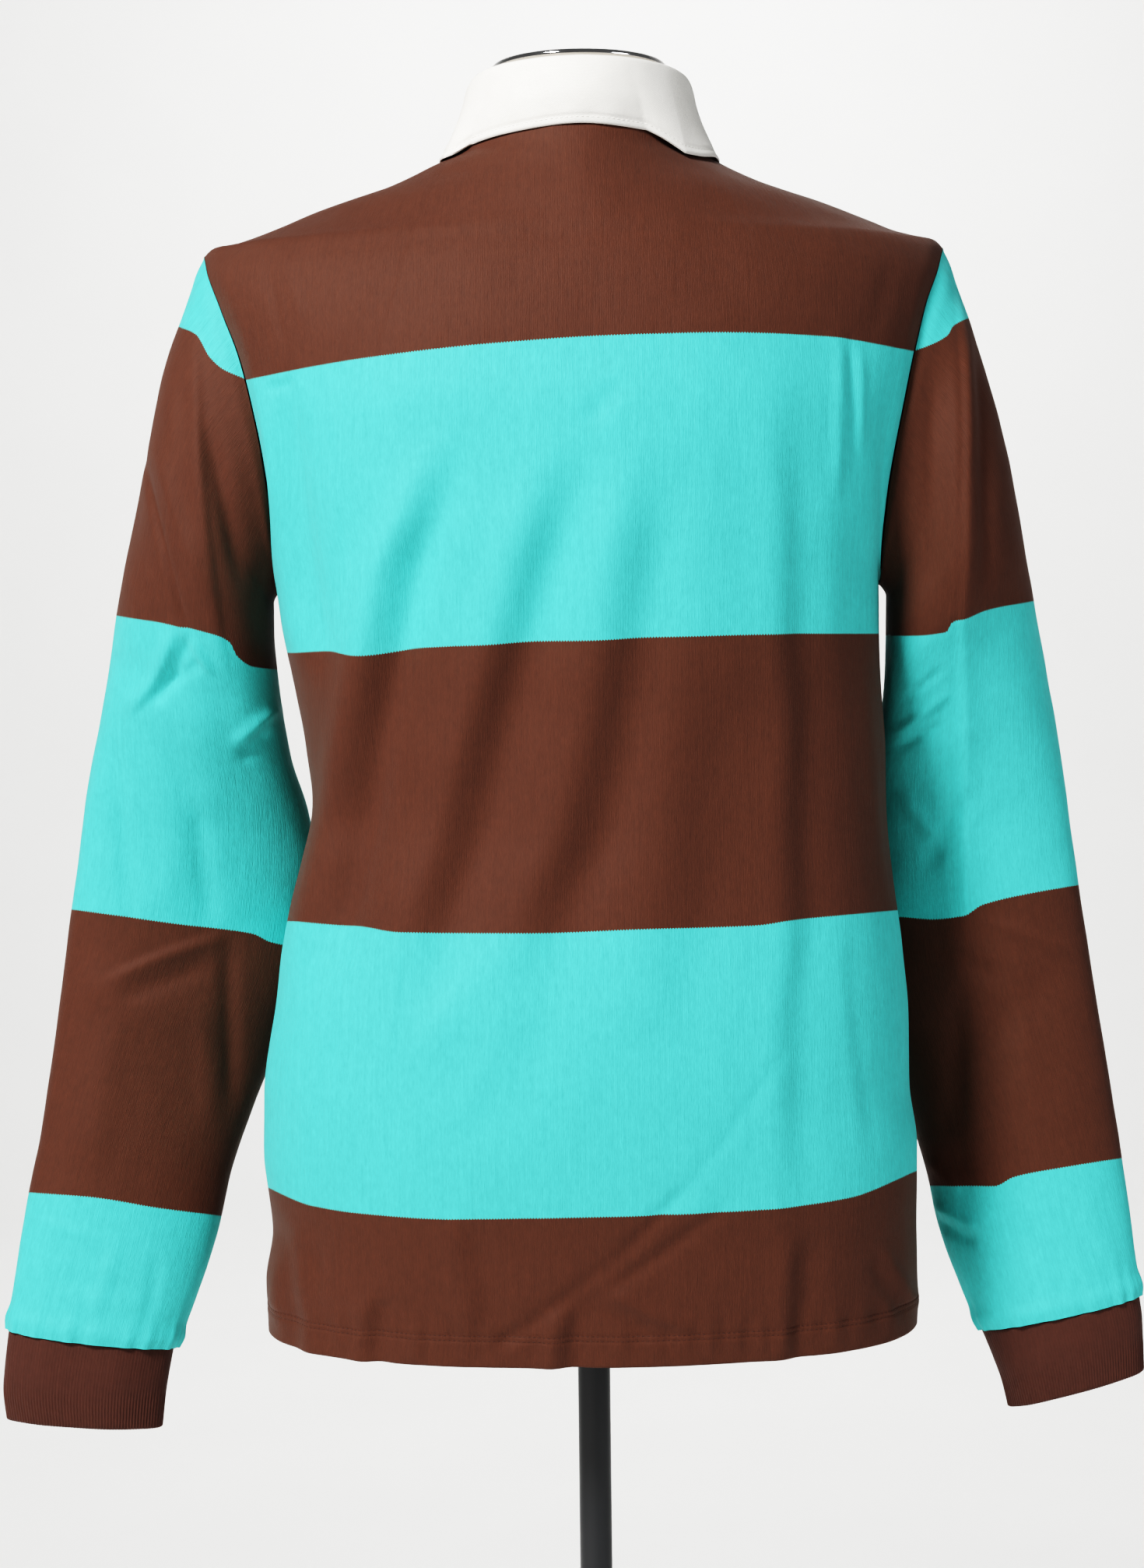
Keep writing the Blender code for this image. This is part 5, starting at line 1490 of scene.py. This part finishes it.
fall, fall_points, fall_normals, fall_from_edge = build_fall(130, 36)
belongs(fall, "form", "white_twill", "collar_fall")
sewn_row = int(np.argmin(np.abs(fall_from_edge.mean(axis=1) - TOPSTITCH)))
fall_sewing = stitches(
    "collar_topstitch", fall_points[sewn_row, 4:-4], fall_normals[sewn_row, 4:-4], TOP_THREAD,
    TOP_PITCH, WHITE_THREAD, "white_twill",
)
stand = build_stand()
belongs(stand, "form", "white_twill", "collar_stand")


# ---- Placket and buttons ----
BAND_STITCH = 0.0030  # from the top band's edge
BAND_DENT = (0.00028, 0.0008)  # depth and width
HOLE_APART = (0.0022, 0.0026)  # distances between a button's holes, across and upright
BUTTON_THREAD = 0.00034
BUTTON_PROFILE = (  # shares of the radius and of half the thickness
    (0.0, 0.45), (0.52, 0.45), (0.62, 0.62), (0.72, 0.95), (0.82, 1.0), (0.92, 0.9), (0.99, 0.5),
    (1.0, 0.0), (0.97, -0.6), (0.88, -1.0), (0.0, -1.0),
)


def build_band(name, half, bottom_z, lift, rows, columns, node):
    """Band of the placket on the front, raised by lift; only the raised one is stitched."""
    x = np.linspace(-half, half, columns + 1)[None, :]
    share = np.linspace(0, 1, rows + 1)[:, None]
    top = neck(np.arcsin(np.abs(x) / NECK_HALF), -1, 1.0)[..., 2]
    z = bottom_z + (top - 2 * SEAM - 1.3 * lift - bottom_z) * share
    points = np.stack([x + 0 * z, body_y(x + 0 * z, z, -1), z], -1)
    normals = faced(grid_normals(points, False), (0.0, -1.0, 0.0))
    points = points + normals * lift
    points[..., 1] -= SEAM / 2
    across, along = lengths(points, 1) - half, lengths(points, 0)
    edge = np.minimum(half - np.abs(x) + 0 * z, along)
    if lift:
        height = -BAND_DENT[0] * bell(edge - BAND_STITCH, BAND_DENT[1])
        points = points + normals * height[..., None]
    rims = {key: 0.3 for key in ("low", "left", "right")} if lift else None
    made = shell(name, points, normals, TWILL, across, along, None, TWILL_CLOTH, rims=rims)
    belongs(made, "form", "white_twill", node)
    return made, points, normals


under_bottom = PLACKET_BOTTOM_Z + SEAM
under, _, _ = build_band(
    "shirt_placket_under", PLACKET_HALF - SEAM, under_bottom, 0.0, 60, 10, "placket_under"
)
top_half = PLACKET_HALF + PLACKET_MARGIN
top_bottom = PLACKET_BOTTOM_Z - 2 * PLACKET_MARGIN
band, band_points, band_normals = build_band(
    "shirt_placket_top", top_half, top_bottom, PLACKET_LIFT, 90, 36, "placket_top"
)
band_sewing = [
    stitches(
        f"placket_topstitch_{number}", band_points[2:-2, c], band_normals[2:-2, c], TOP_THREAD,
        TOP_PITCH, WHITE_THREAD, "white_twill",
    )
    for number, c in enumerate((3, -4), 1)
]


def lathe(name, profile, steps, finish, closed=False):
    """Turned piece about an upright axis; the profile runs down its outer side."""
    turn = round_turns(steps)
    points, index = [], []
    for radius, z in profile:
        if radius == 0:
            index.append([len(points)] * steps)
            points.append((0.0, 0.0, z))
            continue
        index.append(list(range(len(points), len(points) + steps)))
        points += [(radius * math.cos(t), radius * math.sin(t), z) for t in turn]
    pairs = list(zip(index[:-1], index[1:])) + ([(index[-1], index[0])] if closed else [])
    faces = []
    for upper, lower in pairs:
        for k in range(steps):
            n = (k + 1) % steps
            face = [upper[n], upper[k], lower[k], lower[n]]
            faces.append(dict.fromkeys(face))  # without a doubled corner on the axis
    return placed_object(name, smooth_mesh(name, points, faces, sharp=35), finish)


def build_button(number, z):
    """Four-hole button with a raised rim and its sewing."""
    step = 0.002
    y = float(body_y(0.0, z, -1))
    slope = float(body_y(0.0, z + step, -1) - body_y(0.0, z - step, -1)) / (2 * step)
    normal = unit(np.array([0.0, -1.0, slope]))
    lift = PLACKET_LIFT + 1.5 * SEAM + BUTTON_THICK / 2
    centre = np.array([0.0, y, z]) + normal * lift
    half = BUTTON_THICK / 2
    profile = [(BUTTON_RADIUS * r, half * h) for r, h in BUTTON_PROFILE]
    made = lathe(f"shirt_button_{number}", profile, 48, RESIN)
    place = Matrix.Translation(centre) @ Matrix.Rotation(math.atan2(-normal[1], normal[2]), 4, "X")
    made.data.transform(place)
    belongs(made, "form", "white_button", f"button_{number}")
    up = np.array([0.0, -normal[2], normal[1]])
    side = np.array([1.0, 0.0, 0.0])
    spot = centre + normal * (half * BUTTON_PROFILE[0][1])
    to_hole = up * HOLE_APART[1] / 2
    for k, s in enumerate((-1, 1), 1):
        middle = spot + side * (s * HOLE_APART[0] / 2)
        line = np.linspace(middle + to_hole, middle - to_hole, 12)
        facing = np.repeat(normal[None], len(line), axis=0)
        stitches(
            f"button_thread_{number}_{k}", line, facing, BUTTON_THREAD, HOLE_APART[1], WHITE_THREAD,
            "white_twill", 0.96,
        )


for number, z in enumerate(BUTTON_HEIGHTS, 1):
    build_button(number, z)


# ---- Dress form, cap and stand ----
NECK_LOWER = 0.0038  # the padding gives by this much under the cap
SHOULDER_Z = 1.395  # the rings lie closer from here up
NECK_Z = 1.480  # and from here up the neck is drawn down
RIM_Z = 1.508
RIM = 0.006  # height of the rounded rim at the neck's top
RIM_IN = 0.10  # share by which the rim draws in
MAST_STEPS = 72  # sides of the round tubes


def build_form(around, rows):
    """The torso with its neck, as smooth as padded linen over a moulded body."""
    rings = form_rings()
    levels = rings[:, 0, 2]
    turns = round_turns(rings.shape[1])
    wide = np.concatenate([turns - FULL_TURN, turns, turns + FULL_TURN])
    three_rounds = np.tile(rings.transpose(1, 0, 2), (3, 1, 1))
    rounded = smooth(wide, three_rounds, round_turns(around)).transpose(1, 0, 2)
    runs = (levels[0], SHOULDER_Z, rows), (SHOULDER_Z, NECK_Z, rows), (NECK_Z, RIM_Z, rows // 4)
    z = [np.linspace(low, high, count, endpoint=False) for low, high, count in runs]
    z = np.concatenate(z + [np.linspace(RIM_Z, levels[-1], 12)])
    points = smooth(levels, rounded, z)
    points[..., 2] = (z - NECK_LOWER * ease((z - NECK_Z) / 0.030))[:, None]
    rounding = np.clip((z - levels[-1]) / RIM + 1, 0, 1)
    points[..., :2] *= (1 - RIM_IN * (1 - np.sqrt(1 - 0.98 * rounding**2)))[:, None, None]
    count = len(z)
    faces = []
    for r in range(count - 1):
        for c in range(around):
            d = (c + 1) % around
            faces.append((r * around + c, r * around + d, (r + 1) * around + d, (r + 1) * around + c))
    faces.append(tuple(range(around))[::-1])
    faces.append(tuple((count - 1) * around + c for c in range(around)))
    mesh = smooth_mesh("form", points.reshape(-1, 3), faces, sharp=45)
    corners = np.zeros(len(mesh.loops), np.int32)
    mesh.loops.foreach_get("vertex_index", corners)
    girth = np.linalg.norm(np.roll(points, -1, 1) - points, axis=-1).mean()
    across = (corners % around) * girth
    closing = (np.arange(len(corners)) % 4 % 3 > 0) & (corners % around == 0)
    across = np.where(closing, around * girth, across)
    add_layer(mesh, "Cloth", across, points.reshape(-1, 3)[corners, 2])
    return placed_object("form_linen_torso", mesh, LINEN)


form = build_form(112, 60)
belongs(form, "form", "beige_linen", "form_torso")


def rounded_edge(radius, z, edge, last, steps):
    """Arc of radius edge about the height z, from its top down to the turn last."""
    turns = np.linspace(math.pi / 2, last, steps + 1)
    return [(radius - edge * (1 - math.cos(t)), z + edge * math.sin(t)) for t in turns]


low = FORM_TOP_Z + SEAM - NECK_LOWER
cap_profile = [(0.0, low + CAP_THICK + CAP_DOME)]
for share in (0.2, 0.45, 0.65, 0.82, 0.93):
    cap_profile.append((CAP_RADIUS * share, low + CAP_THICK + CAP_DOME * (1 - share**2) * 0.97))
edge = CAP_THICK / 2
cap_profile += rounded_edge(CAP_RADIUS, low + edge, edge, -math.pi / 2, 8)
cap_profile.append((0.0, low))
cap = lathe("neck_cap_chrome", cap_profile, 96, CHROME)
belongs(cap, "form", "chrome", "neck_cap")

top = FORM_SECTIONS[0, 0] - SEAM
bevel = 0.0008
pole_profile = [
    (0.0, top), (FLANGE_RADIUS - bevel, top), (FLANGE_RADIUS, top - bevel),
    (FLANGE_RADIUS, top - FLANGE_THICK + bevel), (FLANGE_RADIUS - bevel, top - FLANGE_THICK),
    (POLE_RADIUS + 0.002, top - FLANGE_THICK), (POLE_RADIUS, top - FLANGE_THICK - 0.002),
    (POLE_RADIUS, POLE_BOTTOM_Z + bevel), (POLE_RADIUS - bevel, POLE_BOTTOM_Z), (0.0, POLE_BOTTOM_Z),
]
pole = lathe("mast_inner_tube", pole_profile, MAST_STEPS, BLACK)
belongs(pole, "form", "black_metal", "pole")
lock_low = LOCK_TOP_Z - LOCK_HEIGHT
tube_top, tube_low, bevel = lock_low - SEAM, BOSS_TOP_Z + SEAM, 0.0005
tube_profile = [
    (TUBE_BORE, tube_top), (TUBE_RADIUS - bevel, tube_top), (TUBE_RADIUS, tube_top - bevel),
    (TUBE_RADIUS, tube_low + bevel), (TUBE_RADIUS - bevel, tube_low), (TUBE_BORE, tube_low),
]
tube = lathe("mast_outer_tube", tube_profile, MAST_STEPS, BLACK, closed=True)
belongs(tube, "stand", "black_metal", "stand_tube")
edge, groove, bevel = 0.0022, 0.0005, 0.0011
lock_profile = [(LOCK_BORE, LOCK_TOP_Z), *rounded_edge(LOCK_RADIUS, LOCK_TOP_Z - edge, edge, 0, 6)]
for z in (LOCK_TOP_Z - 0.008, LOCK_TOP_Z - 0.020):
    lock_profile += [(LOCK_RADIUS, z), (LOCK_RADIUS - groove, z - groove)]
    lock_profile += [(LOCK_RADIUS - groove, z - 3 * groove), (LOCK_RADIUS, z - 4 * groove)]
lock_profile += [(LOCK_RADIUS, lock_low + bevel), (LOCK_RADIUS - bevel, lock_low), (LOCK_BORE, lock_low)]
lock = lathe("mast_lock_collar", lock_profile, MAST_STEPS, CHROME, closed=True)
belongs(lock, "stand", "chrome", "lock_collar")
base_profile = [
    (0.0, BOSS_TOP_Z), (BOSS_RADIUS - 0.004, BOSS_TOP_Z), (BOSS_RADIUS - 0.0012, BOSS_TOP_Z - 0.0012),
    (BOSS_RADIUS, BOSS_TOP_Z - 0.004), (BOSS_RADIUS + 0.002, BASE_THICK + 0.0095),
    (BOSS_RADIUS + 0.008, BASE_THICK + 0.0055), (BASE_RADIUS * 0.55, BASE_THICK + 0.002),
    (BASE_RADIUS - 0.003, BASE_THICK), (BASE_RADIUS - 0.0008, BASE_THICK - 0.0008),
    (BASE_RADIUS, BASE_THICK - 0.003), (BASE_RADIUS, 0.001), (BASE_RADIUS - 0.001, 0.0), (0.0, 0.0),
]
plate = lathe("stand_base", base_profile, 128, BLACK)
belongs(plate, "stand", "black_metal", "base_plate")


# ---- Floor, backdrop, light and camera ----
BEND_Y, BEND_RADIUS, BEND_STEPS = -4.4, 1.0, 24  # where the floor turns up into the wall
WALL_TOP, WALL_HALF = 8.0, 16.0
LIGHTS = (  # name, place, aim, width, watts, colour
    ("key", (1.95, 2.45, 3.45), (0, 0, 1.1), 1.0, 200, (1.0, 0.985, 0.965)),
    ("fill", (-2.7, 1.9, 1.7), (0, 0, 1.2), 1.4, 22, (0.97, 0.985, 1.0)),
    ("wall", (-0.2, -2.6, 3.6), (-0.1, -5.0, 0.8), 2.4, 92, (1.0, 1.0, 1.0)),
)
WORLD_LIGHT = 0.08
SENSOR = 36.0  # millimetres, along the picture's longer side
BRIGHTEST = 1.6  # light that shows as full white


def backdrop():
    """Pale floor that turns up into a wall behind the object."""
    profile = [(6.0, 0.0), (2.0, 0.0), (0.0, 0.0), (BEND_Y, 0.0)]
    for k in range(1, BEND_STEPS + 1):
        turn = math.pi / 2 * k / BEND_STEPS
        profile.append((BEND_Y - BEND_RADIUS * math.sin(turn), BEND_RADIUS * (1 - math.cos(turn))))
    profile.append((BEND_Y - BEND_RADIUS, WALL_TOP))
    points = [(s * WALL_HALF, y, z) for s in (-1, 1) for y, z in profile]
    count = len(profile)
    faces = [(k, k + 1, count + k + 1, count + k) for k in range(count - 1)]
    mesh = smooth_mesh("backdrop", points, faces)
    made = placed_object("backdrop", mesh, paper())


def area_light(name, at, aim, size, power, colour):
    data = bpy.data.lights.new(name, "AREA")
    data.shape, data.size, data.energy, data.color = "DISK", size, power, colour
    made = bpy.data.objects.new(name, data)
    back_dir = unit(np.array(at) - np.array(aim))
    side = unit(np.cross((0.0, 0.0, 1.0), back_dir))
    up = np.cross(back_dir, side)
    way = Matrix([list(row) for row in np.stack([side, up, back_dir], 1)])
    made.matrix_world = Matrix.Translation(at) @ way.to_4x4()
    bpy.context.scene.collection.objects.link(made)


TONES = (  # the camera's response: light in, light shown
    (0.015, 0.0055), (0.03, 0.0146), (0.05, 0.033), (0.07, 0.0565), (0.10, 0.100), (0.15, 0.184),
    (0.20, 0.268), (0.30, 0.418), (0.42, 0.557), (0.60, 0.690), (0.96, 0.860), (1.30, 0.955),
)


def set_tones():
    """A camera's response: fuller darks, and brights that run out softly."""
    view = bpy.context.scene.view_settings
    view.view_transform = "Standard"
    view.use_curve_mapping = True
    mapping = view.curve_mapping
    mapping.clip_max_x = BRIGHTEST
    response = mapping.curves[3].points
    response[0].location, response[1].location = (0.0, 0.0), (BRIGHTEST, 1.0)
    for light, shown in TONES:
        response.new(light, shown)
    mapping.update()


def set_camera():
    data = bpy.data.cameras.new("camera")
    data.sensor_width = SENSOR
    data.sensor_fit = "AUTO"
    data.lens = FOCAL * SENSOR / PICTURE[1]
    data.clip_end = 50
    made = bpy.data.objects.new("camera", data)
    turn = Matrix.Rotation(math.pi, 4, "Z") @ Matrix.Rotation(math.pi / 2 - PITCH, 4, "X")
    made.matrix_world = Matrix.Translation(CAMERA_AT) @ turn @ Matrix.Rotation(-ROLL, 4, "Z")
    bpy.context.scene.collection.objects.link(made)
    bpy.context.scene.camera = made


backdrop()
for light in LIGHTS:
    area_light(*light)
world = bpy.data.worlds.new("studio")
world.use_nodes = True
background = world.node_tree.nodes["Background"].inputs
background["Color"].default_value = (1.0, 1.0, 1.0, 1)
background["Strength"].default_value = WORLD_LIGHT
bpy.context.scene.world = world
set_tones()
set_camera()
